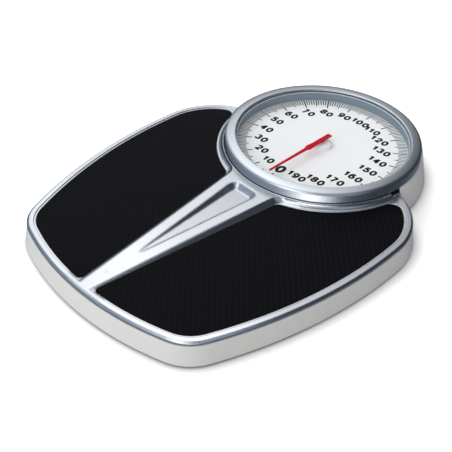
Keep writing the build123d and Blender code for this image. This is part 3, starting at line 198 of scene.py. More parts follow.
def from_dial(tree):
    """Distance from the dial's axis."""
    place = add(tree, "TexCoord")
    offset = add(tree, "VectorMath", {1: dial}, operation="SUBTRACT")
    join(tree, place.outputs["Object"], offset.inputs[0])
    flat = add(tree, "VectorMath", {1: (1.0, 1.0, 0.0)}, operation="MULTIPLY")
    join(tree, offset.outputs["Vector"], flat.inputs[0])
    radius = add(tree, "VectorMath", operation="LENGTH")
    join(tree, flat.outputs["Vector"], radius.inputs[0])
    return radius.outputs["Value"]


def crowned(tree):
    """Surface direction of the ring."""
    top = falling(tree, from_dial(tree), RING_INNER, bezel_radius + PAST_EDGE, CROWN_CURVE,
                  CROWN_DEPTH, soft_edges(tree))
    lean = add(tree, "VectorMath", {1: (0.0, 0.0, WALL_LEAN)}, operation="ADD")
    join(tree, top, lean.inputs[0])
    unit = add(tree, "VectorMath", operation="NORMALIZE")
    join(tree, lean.outputs["Vector"], unit.inputs[0])
    return unit.outputs["Vector"]


print("ring radius", round(bezel_radius / MM, 1), "mm, crown", round(CROWN_DEPTH / MM, 1), "mm")

# %% [markdown]
# The frame's soft places
# The silver frame ends at the ring in a thin lip. The scoop in its spine has wide, soft edges,
# and the spine's near end dips towards the user. One function joins the three. The wide edges
# stay away from a screw under the spine, because the Bevel node would find its hole and show it.

# %% Shape the light on the frame
LIP_START, LIP_END, COLLAR_FALL = 0.8 * MM, 2.4 * MM, 0.7 * MM
SCOOP_OUTER, SCOOP_INNER, SCOOP_EDGE = 27 * MM, 21 * MM, 3.8 * MM
SPINE_DIP_START, SPINE_DIP_END, SPINE_FALL = -100 * MM, -210 * MM, 9.0 * MM
SPINE_SCREW, SCREW_NEAR, SCREW_FAR = (0.0, -83.0 * MM, 24.0 * MM), 4 * MM, 8 * MM


def rolled(tree):
    """Surface direction of the frame."""
    place = add(tree, "TexCoord")
    split = add(tree, "SeparateXYZ")
    join(tree, place.outputs["Object"], split.inputs["Vector"])
    off_middle = add(tree, "Math", operation="ABSOLUTE")
    join(tree, split.outputs["X"], off_middle.inputs[0])
    from_screw = add(tree, "VectorMath", {1: SPINE_SCREW}, operation="DISTANCE")
    join(tree, place.outputs["Object"], from_screw.inputs[0])
    wide = add(tree, "MapRange", {"From Min": SCREW_NEAR, "From Max": SCREW_FAR,
                                  "To Min": SOFT_EDGE, "To Max": SCOOP_EDGE})
    join(tree, from_screw.outputs["Value"], wide.inputs["Value"])
    spine = add(tree, "MapRange", {"From Min": SCOOP_OUTER, "From Max": SCOOP_INNER,
                                   "To Min": SOFT_EDGE})
    join(tree, off_middle.outputs[0], spine.inputs["Value"])
    join(tree, wide.outputs["Result"], spine.inputs["To Max"])
    collar = falling(tree, from_dial(tree), bezel_radius + LIP_START, bezel_radius + LIP_END, 1.0,
                     COLLAR_FALL, soft_edges(tree, spine.outputs["Result"]))
    return falling(tree, split.outputs["Y"], SPINE_DIP_START, SPINE_DIP_END, 2.0, SPINE_FALL, collar)


print("scoop edges of", round(SCOOP_EDGE / MM, 1), "mm, lip of", round(COLLAR_FALL / MM, 1), "mm")

# %% [markdown]
# A recipe for moulded and lacquered parts
# Most parts of the scale are one plain colour that changes a little from place to place. One
# colour alone looks like a toy. The recipe mixes two close colours with slow noise, takes its
# gloss from the handling group and gives the surface a fine grain.

# %% Start a material
def new_material(name):
    """A material with one Principled shader. Gives back the material, its tree and the shader."""
    material = bpy.data.materials.new(name)
    material.use_nodes = True
    tree = material.node_tree
    shader = next(n for n in tree.nodes if n.type == "BSDF_PRINCIPLED")
    return material, tree, shader


def handled(tree, shader, roughness, smudge, grain_scale=900.0, grain=1.0):
    """Places the handling group and joins its gloss. Gives back its height for a Bump node."""
    marks = tree.nodes.new("ShaderNodeGroup")
    marks.node_tree = handling
    marks.inputs["Roughness"].default_value = roughness
    marks.inputs["Smudge"].default_value = smudge
    marks.inputs["Grain Scale"].default_value = grain_scale
    marks.inputs["Grain"].default_value = grain
    join(tree, marks.outputs["Roughness"], shader.inputs["Roughness"])
    return marks.outputs["Height"]


print("a finish starts with", new_material.__name__, "and", handled.__name__)

# %% [markdown]
# The plain finish
# This is the recipe itself. Bump turns the height of the grain into small changes of light. A
# function for the surface direction, such as the crown of the ring, can be given to it.

# %% Make a plain finish
def finish(name, colour, second, metallic=0.0, roughness=0.4, smudge=0.1, grain_scale=900.0,
           grain_depth=0.02, ior=1.5, form=None):
    """A material between two colours. The depth of its grain is in millimetres."""
    material, tree, shader = new_material(name)
    place = add(tree, "TexCoord")
    cloud = add(tree, "TexNoise", {"Scale": 9.0, "Detail": 2.0})
    join(tree, place.outputs["Object"], cloud.inputs["Vector"])
    mix = add(tree, "MixRGB", {1: (*colour, 1.0), 2: (*second, 1.0)})
    join(tree, cloud.outputs["Fac"], mix.inputs["Fac"])
    join(tree, mix.outputs["Color"], shader.inputs["Base Color"])
    bump = add(tree, "Bump", {"Strength": 1.0, "Distance": grain_depth * MM})
    join(tree, handled(tree, shader, roughness, smudge, grain_scale), bump.inputs["Height"])
    if form:
        join(tree, form(tree), bump.inputs["Normal"])
    join(tree, bump.outputs["Normal"], shader.inputs["Normal"])
    shader.inputs["Metallic"].default_value = metallic
    shader.inputs["IOR"].default_value = ior
    return material


print("a plain finish is made with", finish.__name__)

# %% [markdown]
# The outer finishes
# The housing is a warm light grey moulding with a low gloss. Frame and ring are lacquered
# silver: full metal, a little blue, with no brush lines. The printed sheet of the dial and the
# red needle are kept dull, because they lie under a clear cover that has all the gloss.

# %% Mix the outer finishes
looks = {
    "cream_housing": finish("warm_grey_moulding", (0.765, 0.765, 0.75), (0.795, 0.795, 0.78),
                            roughness=0.38, smudge=0.12, grain_depth=0.012),
    "silver_frame": finish("silver_lacquer", (0.76, 0.77, 0.795), (0.79, 0.80, 0.82), metallic=1.0,
                           roughness=0.22, smudge=0.06, grain_scale=2600.0, grain_depth=0.002,
                           form=rolled),
    "silver_bezel": finish("silver_ring_lacquer", (0.72, 0.75, 0.78), (0.75, 0.78, 0.805),
                           metallic=1.0, roughness=0.26, smudge=0.05, grain_scale=2600.0,
                           grain_depth=0.002, form=crowned),
    "dark_plastic": finish("slate_plastic", (0.045, 0.06, 0.085), (0.055, 0.07, 0.095),
                           roughness=0.42, smudge=0.1),
    "dial_white": finish("printed_white_sheet", (0.86, 0.86, 0.865), (0.88, 0.88, 0.885),
                         roughness=0.6, smudge=0.05, grain_scale=1500.0, grain_depth=0.003, ior=1.3),
    "boss_white": finish("white_boss_moulding", (0.80, 0.80, 0.79), (0.83, 0.83, 0.82),
                         roughness=0.35, smudge=0.06),
    "needle_red": finish("red_needle_lacquer", (0.47, 0.001, 0.013), (0.51, 0.001, 0.016),
                         roughness=0.5, smudge=0.05, ior=1.12),
    "rubber_feet": finish("foot_rubber", (0.022, 0.022, 0.023), (0.03, 0.03, 0.031),
                          roughness=0.75, smudge=0.1, grain_depth=0.03),
}
print(len(looks), "outer finishes")

# %% [markdown]
# The finishes inside
# The movement inside is brass for what turns, ground steel for shafts and stamped steel for the
# rack, and the main spring is drawn wire. They are all metal and differ in colour, gloss and
# grain, as the tools left them.

# %% Mix the inner finishes
looks.update({
    "brass": finish("turned_brass", (0.62, 0.42, 0.16), (0.66, 0.46, 0.19), metallic=1.0,
                    roughness=0.3, smudge=0.15, grain_scale=2500.0, grain_depth=0.006),
    "polished_steel": finish("ground_steel", (0.55, 0.56, 0.57), (0.60, 0.61, 0.62), metallic=1.0,
                             roughness=0.22, smudge=0.12, grain_scale=2800.0, grain_depth=0.004),
    "rack_steel": finish("stamped_steel", (0.48, 0.49, 0.50), (0.53, 0.54, 0.55), metallic=1.0,
                         roughness=0.38, smudge=0.15, grain_scale=1800.0, grain_depth=0.008),
    "spring_steel": finish("drawn_spring_wire", (0.30, 0.30, 0.32), (0.36, 0.36, 0.38),
                           metallic=1.0, roughness=0.34, smudge=0.1),
})
print(len(looks), "finishes with the inner ones")

# %% [markdown]
# Zinc on sheet steel
# Levers, posts and the plate under the mats are zinc-plated sheet, which shows patches of large
# flat crystals, called spangle. Noise would be too soft for them. A Voronoi pattern has straight
# borders and gives each patch its own shade and gloss.

# %% Make the galvanised sheet
def galvanised():
    material, tree, shader = new_material("zinc_plated_sheet")
    place = add(tree, "TexCoord")
    spangle = add(tree, "TexVoronoi", {"Scale": 140.0})
    join(tree, place.outputs["Object"], spangle.inputs["Vector"])
    shade = add(tree, "ValToRGB")
    shade.color_ramp.elements[0].color = (0.42, 0.43, 0.44, 1.0)
    shade.color_ramp.elements[1].color = (0.56, 0.57, 0.58, 1.0)
    join(tree, spangle.outputs["Color"], shade.inputs["Fac"])
    join(tree, shade.outputs["Color"], shader.inputs["Base Color"])
    gloss = add(tree, "MapRange", {"To Min": 0.36, "To Max": 0.5})
    join(tree, spangle.outputs["Color"], gloss.inputs["Value"])
    join(tree, gloss.outputs["Result"], shader.inputs["Roughness"])
    shader.inputs["Metallic"].default_value = 1.0
    return material


looks["galvanised_steel"] = galvanised()
print("sheet steel has the finish", looks["galvanised_steel"].name)

# %% [markdown]
# The rubber mats
# The mats are black rubber with small raised studs in rows that run on the diagonal. Thousands
# of modelled studs would be slow. Two cosine waves, turned by 45 degrees and multiplied, give
# one stud where both peak, and a Bump node turns that height into light and shade. The same
# height paints the stud tops a little lighter and the hollows darker, as painted light and shade.

# %% Make the studded rubber
STUD_PITCH, STUD_HEIGHT = 5.0 * MM, 0.24 * MM


def studded_rubber():
    material, tree, shader = new_material("studded_rubber")
    place = add(tree, "TexCoord")
    turn = add(tree, "Mapping", {"Rotation": (0.0, 0.0, math.radians(45))})
    join(tree, place.outputs["Object"], turn.inputs["Vector"])
    split = add(tree, "SeparateXYZ")
    join(tree, turn.outputs["Vector"], split.inputs["Vector"])
    studs = add(tree, "Math", operation="MULTIPLY")
    for number, axis in enumerate("XY"):
        phase = add(tree, "Math", {1: 2 * math.pi / STUD_PITCH}, operation="MULTIPLY")
        join(tree, split.outputs[axis], phase.inputs[0])
        wave = add(tree, "Math", operation="COSINE")
        join(tree, phase.outputs[0], wave.inputs[0])
        upper = add(tree, "MapRange", {"From Min": -1.0, "From Max": 1.0})
        join(tree, wave.outputs[0], upper.inputs["Value"])
        join(tree, upper.outputs["Result"], studs.inputs[number])
    bump = add(tree, "Bump", {"Strength": 1.0, "Distance": STUD_HEIGHT})
    join(tree, studs.outputs[0], bump.inputs["Height"])
    fine = add(tree, "Bump", {"Strength": 0.6, "Distance": 0.02 * MM})
    join(tree, handled(tree, shader, 0.46, 0.12, grain=0.5), fine.inputs["Height"])
    join(tree, bump.outputs["Normal"], fine.inputs["Normal"])
    join(tree, fine.outputs["Normal"], shader.inputs["Normal"])
    shader.inputs["IOR"].default_value = 1.15
    # Painted light and shade: stud tops a little lighter, hollows between them darker.
    stud_painted_light_and_shade = add(tree, "MixRGB", {1: (0.0022, 0.0022, 0.0036, 1.0), 2: (0.0045, 0.0045, 0.0065, 1.0)})
    join(tree, studs.outputs[0], stud_painted_light_and_shade.inputs["Fac"])
    join(tree, stud_painted_light_and_shade.outputs["Color"], shader.inputs["Base Color"])
    return material


looks["black_mat"] = studded_rubber()
print("studs every", round(STUD_PITCH / MM, 1), "mm")

# %% [markdown]
# The clear cover
# The cover is clear plastic. It bends light like glass, but a render engine lets no light
# through glass to what lies under it, and the dial would go dark. So shadow rays alone see a
# plain transparent surface there.

# %% Make the clear cover
def choose(tree, share, usual, other):
    """A mix of two shaders, where share says how much of the other one shows."""
    mix = add(tree, "MixShader")
    for number, socket in enumerate((share, usual, other)):
        join(tree, socket, mix.inputs[number])
    return mix.outputs[0]


def clear_cover():
    material, tree, shader = new_material("clear_cover")
    shader.inputs["Base Color"].default_value = (0.98, 0.99, 1.0, 1.0)
    shader.inputs["Roughness"].default_value = 0.01
    shader.inputs["IOR"].default_value = 1.08
    shader.inputs["Transmission Weight"].default_value = 1.0
    out = next(n for n in tree.nodes if n.type == "OUTPUT_MATERIAL")
    path = add(tree, "LightPath")
    plain = add(tree, "BsdfTransparent")
    covered = choose(tree, path.outputs["Is Shadow Ray"], shader.outputs[0], plain.outputs[0])
    join(tree, covered, out.inputs["Surface"])
    return material


looks["clear_lens"] = clear_cover()
print(len(looks), "finishes with sheet, rubber and cover")

# %% [markdown]
# Dress the CAD parts
# The record says which finish each part has, so a loop can dress them all. Only the deep ring
# between face and cover gets a finish of its own: a dark slate that is painted shade. Its silver
# wall stands deep in the ring and shows mostly shade and dark reflections.

# %% Give each part its finish
slots = {s["node"]: s["material_slot"] for s in frame["record"]["subparts"]}
for name, part in nodes.items():
    part.data.materials.clear()
    part.data.materials.append(looks[slots[name]])
# The deep ring's dark slate colour is painted shade, for a silver wall deep in the ring.
ring_painted_shade = finish("ring_painted_shade_lacquer", (0.20, 0.26, 0.31), (0.22, 0.28, 0.33), metallic=0.15,
                   roughness=0.55, smudge=0.05, grain_depth=0.004, ior=1.25)
nodes["lens_spacer"].data.materials[0] = ring_painted_shade
print("dressed", len(nodes), "parts")

# %% [markdown]
# New pieces
# Marks, figures and a few parts of the dial are made here from points and faces. Each new piece
# has to say which moving body it rides on, or it would stay behind when the scale moves. The
# ink is black and dull, and lies a few hundredths of a millimetre above the face.

# %% Add a piece of mesh
ink = finish("printing_ink", (0.004, 0.004, 0.005), (0.007, 0.007, 0.008), roughness=0.6,
             smudge=0.05, grain_depth=0.002, ior=1.2)
INK_LIFT = 0.04 * MM


def add_mesh(name, points, faces, material, body):
    """A new piece from points and faces, with its finish and the body it moves with."""
    mesh = bpy.data.meshes.new(name)
    mesh.from_pydata(points, [], faces)
    mesh.validate()
    piece = bpy.data.objects.new(name, mesh)
    bpy.context.scene.collection.objects.link(piece)
    mesh.materials.append(material)
    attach(piece, body)
    return piece


print("ink lies", round(INK_LIFT / MM, 2), "mm above the face")

# %% [markdown]
# The scale marks
# There are two hundred marks, one for each kilogram. Every tenth is long and bold, every fifth
# between is a little shorter. All of them run out to the ring that stands round the face. As
# each is one flat face, they stay sharp at any distance, which a painted picture would not.

# %% Print the marks
MARKS = 200
MARK_OUTER = 89.1 * MM


def mark_shape(number):
    """Inner radius and half width of one mark."""
    if number % 10 == 0:
        return 73.8 * MM, 0.70 * MM
    if number % 5 == 0:
        return 76.5 * MM, 0.60 * MM
    return 79.2 * MM, 0.50 * MM


def outwards(share):
    """Direction from the dial's middle. Zero is at -Y, and shares of a turn rise clockwise."""
    angle = math.radians(-90) - 2 * math.pi * share
    return Vector((math.cos(angle), math.sin(angle), 0))


def mark_strip(number):
    """The four corners of one mark."""
    inner, half = mark_shape(number)
    along = outwards(number / MARKS)
    across = Vector((-along.y, along.x, 0))
    corners = []
    for radius, side in ((inner, -1), (MARK_OUTER, -1), (MARK_OUTER, 1), (inner, 1)):
        spot = dial + along * radius + across * (side * half)
        corners.append((spot.x, spot.y, FACE_Z + INK_LIFT))
    return corners


points = [corner for number in range(MARKS) for corner in mark_strip(number)]
faces = [tuple(range(4 * number + 3, 4 * number - 1, -1)) for number in range(MARKS)]
add_mesh("scale_marks", points, faces, ink, "base")
print(len(faces), "marks")

# %% [markdown]
# The shape of a figure
# Blender has text objects, but their letter shapes belong to a typeface. Here each figure is
# drawn as a bent line of one width, like a thick felt pen would do it. A path is a list of
# points in a box from 0 to 1, and an arc is a run of points on an ellipse.

# %% Draw the figures
ARC_STEP = 12


def arc(x, y, width, height, start, end):
    """Points on an ellipse, with angles in degrees."""
    count = max(4, round(abs(end - start) / ARC_STEP))
    turns = [math.radians(start + (end - start) * i / count) for i in range(count + 1)]
    return [(x + width * math.cos(turn), y + height * math.sin(turn)) for turn in turns]


SIX = [arc(0.5, 0.30, 0.5, 0.30, 0, 360), arc(0.56, 0.42, 0.56, 0.58, 48, 180) + [(0.0, 0.30)]]
FIGURES = {
    "0": [arc(0.5, 0.5, 0.5, 0.5, 0, 360)],
    "1": [[(0.62, 0.0), (0.62, 1.06)], [(0.62, 1.0), (0.40, 0.80), (0.12, 0.72)]],
    "2": [arc(0.5, 0.71, 0.47, 0.29, 172, -38) + [(0.03, 0.02)], [(-0.10, 0.0), (1.02, 0.0)]],
    "3": [arc(0.47, 0.76, 0.42, 0.24, 165, -90), arc(0.47, 0.26, 0.50, 0.26, 90, -165)],
    "4": [[(0.74, -0.1), (0.74, 1.06)], [(0.70, 1.02), (0.02, 0.26)], [(-0.08, 0.26), (1.12, 0.26)]],
    "5": [[(0.98, 1.0), (0.16, 1.0)], [(0.24, 1.06), (0.10, 0.46)],
          arc(0.47, 0.31, 0.50, 0.31, 138, -165)],
    "6": SIX,
    "7": [[(-0.02, 1.0), (1.06, 1.0)], [(0.94, 0.96), (0.55, 0.48), (0.32, -0.1)]],
    "8": [arc(0.5, 0.76, 0.42, 0.24, 0, 360), arc(0.5, 0.26, 0.50, 0.26, 0, 360)],
    "9": [[(1 - x, 1 - y) for x, y in path] for path in SIX],
}
print(len(FIGURES), "figures of", sum(len(paths) for paths in FIGURES.values()), "strokes")

# %% [markdown]
# From a line to a ribbon
# A stroke has a width. At each point of its path the ribbon goes half a width to the left and
# to the right, square to the way on. A curve object with a bevel could do this too, but it ends
# in many more faces. At a sharp bend the reach is held back, or the corner would stick out.

# %% Lay a ribbon along a path
SHARPEST = 0.6


def ribbon(path, half):
    """Left and right edge points of a line of one width through the points of a path."""
    closed = math.dist(path[0], path[-1]) < half / 10
    edges = []
    last = len(path) - 1
    for i, (x, y) in enumerate(path):
        before = path[i - 1] if i else (path[last - 1] if closed else None)
        after = path[i + 1] if i < last else (path[1] if closed else None)
        ways = []
        for start, end in ((before, (x, y)), ((x, y), after)):
            if start and end:
                ways.append(Vector((end[0] - start[0], end[1] - start[1])).normalized())
        way = sum(ways, Vector((0, 0))).normalized()
        reach = half / max(SHARPEST, way.dot(ways[0]))
        side = Vector((-way.y, way.x)) * reach
        edges.append(((x + side.x, y + side.y), (x - side.x, y - side.y)))
    return edges


print("a straight ribbon:", ribbon([(0, 0), (2, 0)], 1.0))

# %% [markdown]
# The numbers
# The numbers stand upright for the person on the scale, whatever their place on the ring. The
# zero is larger, as it is the one that is looked for. The strokes of a figure lie a hair above
# each other, because faces at one height would flicker where they cross.

# %% Print the numbers
PEN = 2.5 * MM
FIGURE_WIDTH, FIGURE_HEIGHT = 4.6 * MM, 7.0 * MM
FIGURE_STEP, SLIM_STEP = 8.1 * MM, 6.0 * MM
NUMBER_RADIUS, WIDE_PULL, ZERO_SIZE = 63.6 * MM, 3.0 * MM, 1.4


def printed_figures(name, words, place, size=1.0):
    """A row of figures whose middle is at place."""
    steps = [(SLIM_STEP if letter == "1" else FIGURE_STEP) * size for letter in words]
    points, faces = [], []
    low = place.y - FIGURE_HEIGHT * size / 2
    for number, letter in enumerate(words):
        middle = place.x - sum(steps) / 2 + sum(steps[:number]) + steps[number] / 2
        left = middle - FIGURE_WIDTH * size / 2
        for stroke, path in enumerate(FIGURES[letter]):
            spots = [(left + x * FIGURE_WIDTH * size, low + y * FIGURE_HEIGHT * size) for x, y in path]
            base = len(points)
            for pair in ribbon(spots, PEN * size / 2):
                points += [(x, y, place.z + stroke * INK_LIFT / 8) for x, y in pair]
            faces += [(base + 2 * i, base + 2 * i + 1, base + 2 * i + 3, base + 2 * i + 2)
                      for i in range(len(spots) - 1)]
    return add_mesh(name, points, faces, ink, "base")


for tens in range(20):
    along = outwards(tens / 20)
    place = dial + along * NUMBER_RADIUS
    if tens >= 10:
        place.x -= WIDE_PULL * along.x
    place.z = FACE_Z + INK_LIFT
    printed_figures(f"number_{tens * 10}", str(tens * 10), place, ZERO_SIZE if tens == 0 else 1.0)
print("printed 20 numbers")

# %% [markdown]
# The needle
# The needle of the CAD model is a plain strip that gets very thin at its tip. The real one is
# stamped and stays broader to the end, with a step near its middle. So it is drawn again with
# the same length and the same square tail, from one side line that is mirrored.

# %% Shape the needle
NEEDLE_SIDE = [(0.9, -80.4), (1.7, -26.5), (3.2, -23.0), (3.2, -19.5), (2.65, -12.5), (2.65, 11.9)]
NEEDLE_COVER = 0.1 * MM
needle_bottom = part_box("needle")[0].z
needle_top = max(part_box(name)[1].z for name in ("needle", "needle_hub", "needle_shaft")) + NEEDLE_COVER
outline = NEEDLE_SIDE + [(-x, y) for x, y in reversed(NEEDLE_SIDE)]
count = len(outline)
points = [(dial.x + x * MM, dial.y + y * MM, z) for z in (needle_bottom, needle_top) for x, y in outline]
faces = [(i, (i + 1) % count, count + (i + 1) % count, count + i) for i in range(count)]
faces += [tuple(range(count - 1, -1, -1)), tuple(range(count, 2 * count))]
pointer = add_mesh("red_pointer", points, faces, looks["needle_red"], "needle")
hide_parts("needle")
print("needle", round((needle_top - needle_bottom) / MM, 2), "mm thick")

# %% [markdown]
# Turned pieces
# Cap, cover and bead are round, so each is made like a pot on a wheel: a side line of radius and
# height is set down again and again round the dial's axis. A Screw modifier could do it too, but
# a loop leaves a plain mesh that can be exported as it is.

# %% Turn a side line round the dial
def turned_ring(name, side, material, slot, closed=True, steps=144, smooth=True):
    """A ring round the dial's middle from (radius, height) pairs in metres."""
    points, faces = [], []
    rows = len(side)
    last = rows if closed else rows - 1
    for step in range(steps):
        turn = 2 * math.pi * step / steps
        points += [(dial.x + r * math.cos(turn), dial.y + r * math.sin(turn), z) for r, z in side]
        here, there = step * rows, (step + 1) % steps * rows
        faces += [(here + i, here + (i + 1) % rows, there + (i + 1) % rows, there + i)
                  for i in range(last)]
    piece = add_mesh(name, points, faces, material, "base")
    for face in piece.data.polygons:
        face.use_smooth = smooth
    return piece


print("round pieces are made with", turned_ring.__name__)

# %% [markdown]
# The white cap
# A white cap sits on the middle of the face, under the needle. Its edge is well rounded, so that
# it throws only a faint shade. Its middle is open, as the needle's shaft comes up through it.

# %% Turn the cap
CAP_SIDE = [(2.0, 4.3), (6.0, 4.3), (7.6, 4.15), (8.8, 3.75), (9.7, 3.1), (10.4, 2.2), (10.8, 1.1),
            (11.0, 0.0)]
cap_side = [(r * MM, FACE_Z + z * MM) for r, z in CAP_SIDE]
cap = turned_ring("white_cap", cap_side, looks["boss_white"], "boss_white", closed=False, steps=72)
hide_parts("face_boss")
print("cap of", len(cap.data.polygons), "faces")

# %% [markdown]
# The cover disc
# The cover is turned again, a hair thinner than its seat. Two faces in one place would show as
# dark specks, because the engine can't tell which of them comes first. A thin gap round it costs
# nothing to the eye.

# %% Turn the cover
COVER_GAP, COVER_SEAT, COVER_MIDDLE = 0.05 * MM, 0.15 * MM, 0.01 * MM
cover_radius = (lens_high.x - lens_low.x) / 2 - COVER_GAP
cover_low, cover_high = lens_low.z + COVER_SEAT, lens_high.z - COVER_GAP
cover_side = [(COVER_MIDDLE, cover_high), (cover_radius, cover_high), (cover_radius, cover_low),
              (COVER_MIDDLE, cover_low)]
cover = turned_ring("clear_cover_disc", cover_side, looks["clear_lens"], "clear_lens", smooth=False)
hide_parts("lens")
print("cover", round((cover_high - cover_low) / MM, 2), "mm thick")

# %% [markdown]
# The bright bead, a painted highlight
# Between the dark deep ring and the silver ring the eye finds one thin bright line, the highlight
# on the deep ring's top edge. Here it is painted: a narrow rolled edge in a light lacquer, turned
# from a small circle. It stands still with the housing.

# %% Turn the bead
# A light lacquer on the bead paints the highlight of the deep ring's top edge.
painted_highlight_edge = finish("painted_highlight_lacquer", (0.72, 0.76, 0.80), (0.76, 0.80, 0.84), metallic=0.3,
                     roughness=0.3, grain_depth=0.002)
BEAD_RADIUS, BEAD_DROP, BEAD_SIZE, BEAD_SIDES = 89.45 * MM, 0.45 * MM, 0.38 * MM, 8
bead_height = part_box("lens_spacer")[1].z - BEAD_DROP
bead_turns = [2 * math.pi * i / BEAD_SIDES for i in range(BEAD_SIDES)]
bead_side = [(BEAD_RADIUS + BEAD_SIZE * math.cos(turn), bead_height + BEAD_SIZE * math.sin(turn))
             for turn in bead_turns]
bead = turned_ring("painted_highlight_bead", bead_side, painted_highlight_edge, "silver_bezel")
print("bead of", len(bead.data.polygons), "faces")

# %% [markdown]
# The white floor
# The photograph has a white ground with a thin dark line where the scale stands on it. Stronger
# lamps would make any floor white, but the scale with it. So the floor is lighter than paper to
# the camera alone, and Ambient Occlusion darkens it close to the scale. The light that it sends
# back to the scale is that of pale paper. In the silver it is dark and gives the rim its lower line.

# %% Make the floor's finish
CONTACT = 14 * MM
FLOOR_WHITE, FLOOR_CONTACT = (1.8, 1.8, 1.8, 1.0), (0.1, 0.1, 0.1, 1.0)
FLOOR_PAPER, FLOOR_IN_SILVER = (0.75, 0.75, 0.75, 1.0), (0.16, 0.19, 0.26, 1.0)


def white_floor():
    material, tree, shader = new_material("studio_floor")
    out = next(n for n in tree.nodes if n.type == "OUTPUT_MATERIAL")
    path = add(tree, "LightPath")
    seen = add(tree, "Math", operation="MAXIMUM")
    join(tree, path.outputs["Is Camera Ray"], seen.inputs[0])
    join(tree, path.outputs["Is Transmission Ray"], seen.inputs[1])
    paper = add(tree, "BsdfDiffuse", {"Color": FLOOR_PAPER})
    dark = add(tree, "BsdfDiffuse", {"Color": FLOOR_IN_SILVER})
    bright = add(tree, "BsdfDiffuse")
    contact = add(tree, "AmbientOcclusion", {"Distance": CONTACT}, samples=8)
    white = add(tree, "MixRGB", {1: FLOOR_CONTACT, 2: FLOOR_WHITE})
    join(tree, contact.outputs["AO"], white.inputs["Fac"])
    join(tree, white.outputs["Color"], bright.inputs["Color"])
    unseen = choose(tree, path.outputs["Is Glossy Ray"], paper.outputs[0], dark.outputs[0])
    join(tree, choose(tree, seen.outputs[0], unseen, bright.outputs[0]), out.inputs["Surface"])
    tree.nodes.remove(shader)
    return material


paper_floor = white_floor()
print("floor finish of", len(paper_floor.node_tree.nodes), "nodes")

# %% [markdown]
# The floor itself
# One large square is enough. It is stage and not a part of the scale.

# %% Lay the floor
FLOOR_HALF = 6
corners = [(-FLOOR_HALF, -FLOOR_HALF, 0), (FLOOR_HALF, -FLOOR_HALF, 0), (FLOOR_HALF, FLOOR_HALF, 0),
           (-FLOOR_HALF, FLOOR_HALF, 0)]
floor_mesh = bpy.data.meshes.new("studio_floor")
floor_mesh.from_pydata(corners, [], [(0, 1, 2, 3)])
floor = bpy.data.objects.new("studio_floor", floor_mesh)
bpy.context.scene.collection.objects.link(floor)
floor_mesh.materials.append(paper_floor)
print("floor of", 2 * FLOOR_HALF, "m")

# %% [markdown]
# The room in the silver
# Lacquered silver has hardly a colour of its own: it shows the room. Photographers set up white
# boards for it and leave dark gaps between them. Boards could be modelled, but here they are
# patches of the sky that only mirrors see. Each has a direction, a focus, a strength, the lowest
# height that it reaches, and a colour.

# %% List the boards in the mirrored room
MIRROR_BASE = (0.030, 0.038, 0.050, 1.0)
COOL, SLATE, LILAC = (0.98, 0.985, 1.0, 1.0), (0.72, 0.92, 1.15, 1.0), (0.80, 0.88, 1.15, 1.0)
MIRROR_PATCHES = (
    ((-0.64, 0.44, 0.63), 20.0, 0.79, 0.00, COOL),
    ((-0.37, 0.14, 0.92), 13.0, 1.40, 0.15, COOL),
    ((-0.54, 0.78, 0.33), 40.0, 0.50, -0.20, COOL),
    ((0.52, -0.83, 0.25), 20.0, 2.05, -0.10, COOL),
    ((0.02, -0.69, 0.72), 28.0, 2.00, 0.00, COOL),
    ((0.66, -0.20, 0.73), 24.0, 0.42, 0.00, LILAC),
    ((-0.52, -0.65, 0.55), 10.0, 0.14, 0.00, LILAC),
    ((-0.60, -0.50, 0.40), 1.0, 0.20, -0.50, SLATE),
)
print(len(MIRROR_PATCHES), "soft boards")

# %% [markdown]
# Soft patches of sky
# How far a direction points to a board is a dot product, and raising it to a power makes the
# patch smaller. A Map Range fades the patch out above the horizon.

# %% Paint the boards into the sky
PATCH_FADE = 0.35
world = bpy.data.worlds.new("studio")
bpy.context.scene.world = world
world.use_nodes = True
sky_tree = world.node_tree
sky = next(n for n in sky_tree.nodes if n.type == "BACKGROUND")


def facing(way):
    """How far a direction of the sky points along way."""
    place = add(sky_tree, "TexCoord")
    product = add(sky_tree, "VectorMath", {1: way}, operation="DOT_PRODUCT")
    join(sky_tree, place.outputs["Generated"], product.inputs[0])
    return product.outputs["Value"]


def sky_patch(way, focus, strength, lowest):
    """A soft bright patch of sky round one direction, which fades out above the horizon."""
    front = add(sky_tree, "Math", {1: 0.0}, operation="MAXIMUM")
    join(sky_tree, facing(Vector(way).normalized()), front.inputs[0])
    soft = add(sky_tree, "Math", {1: focus}, operation="POWER")
    join(sky_tree, front.outputs[0], soft.inputs[0])
    above = add(sky_tree, "MapRange", {"From Min": lowest, "From Max": lowest + PATCH_FADE,
                                       "To Max": strength}, interpolation_type="SMOOTHSTEP")
    join(sky_tree, facing(Vector((0, 0, 1))), above.inputs["Value"])
    level = add(sky_tree, "Math", operation="MULTIPLY")
    join(sky_tree, soft.outputs[0], level.inputs[0])
    join(sky_tree, above.outputs["Result"], level.inputs[1])
    return level.outputs[0]


mirrored_room = add(sky_tree, "Background", {"Color": MIRROR_BASE}).outputs[0]
for way, focus, strength, lowest, colour in MIRROR_PATCHES:
    glow = add(sky_tree, "Background", {"Color": colour})
    join(sky_tree, sky_patch(way, focus, strength, lowest), glow.inputs["Strength"])
    both = add(sky_tree, "AddShader")
    join(sky_tree, mirrored_room, both.inputs[0])
    join(sky_tree, glow.outputs[0], both.inputs[1])
    mirrored_room = both.outputs[0]
print("mirrored room of", len(sky_tree.nodes), "nodes")

# %% [markdown]
# The sky's light
# What is not a mirror gets soft light from all sides, a little stronger from the left and the
# near side. The camera sees plain white, which has strength 1 and adds no light to the scale.

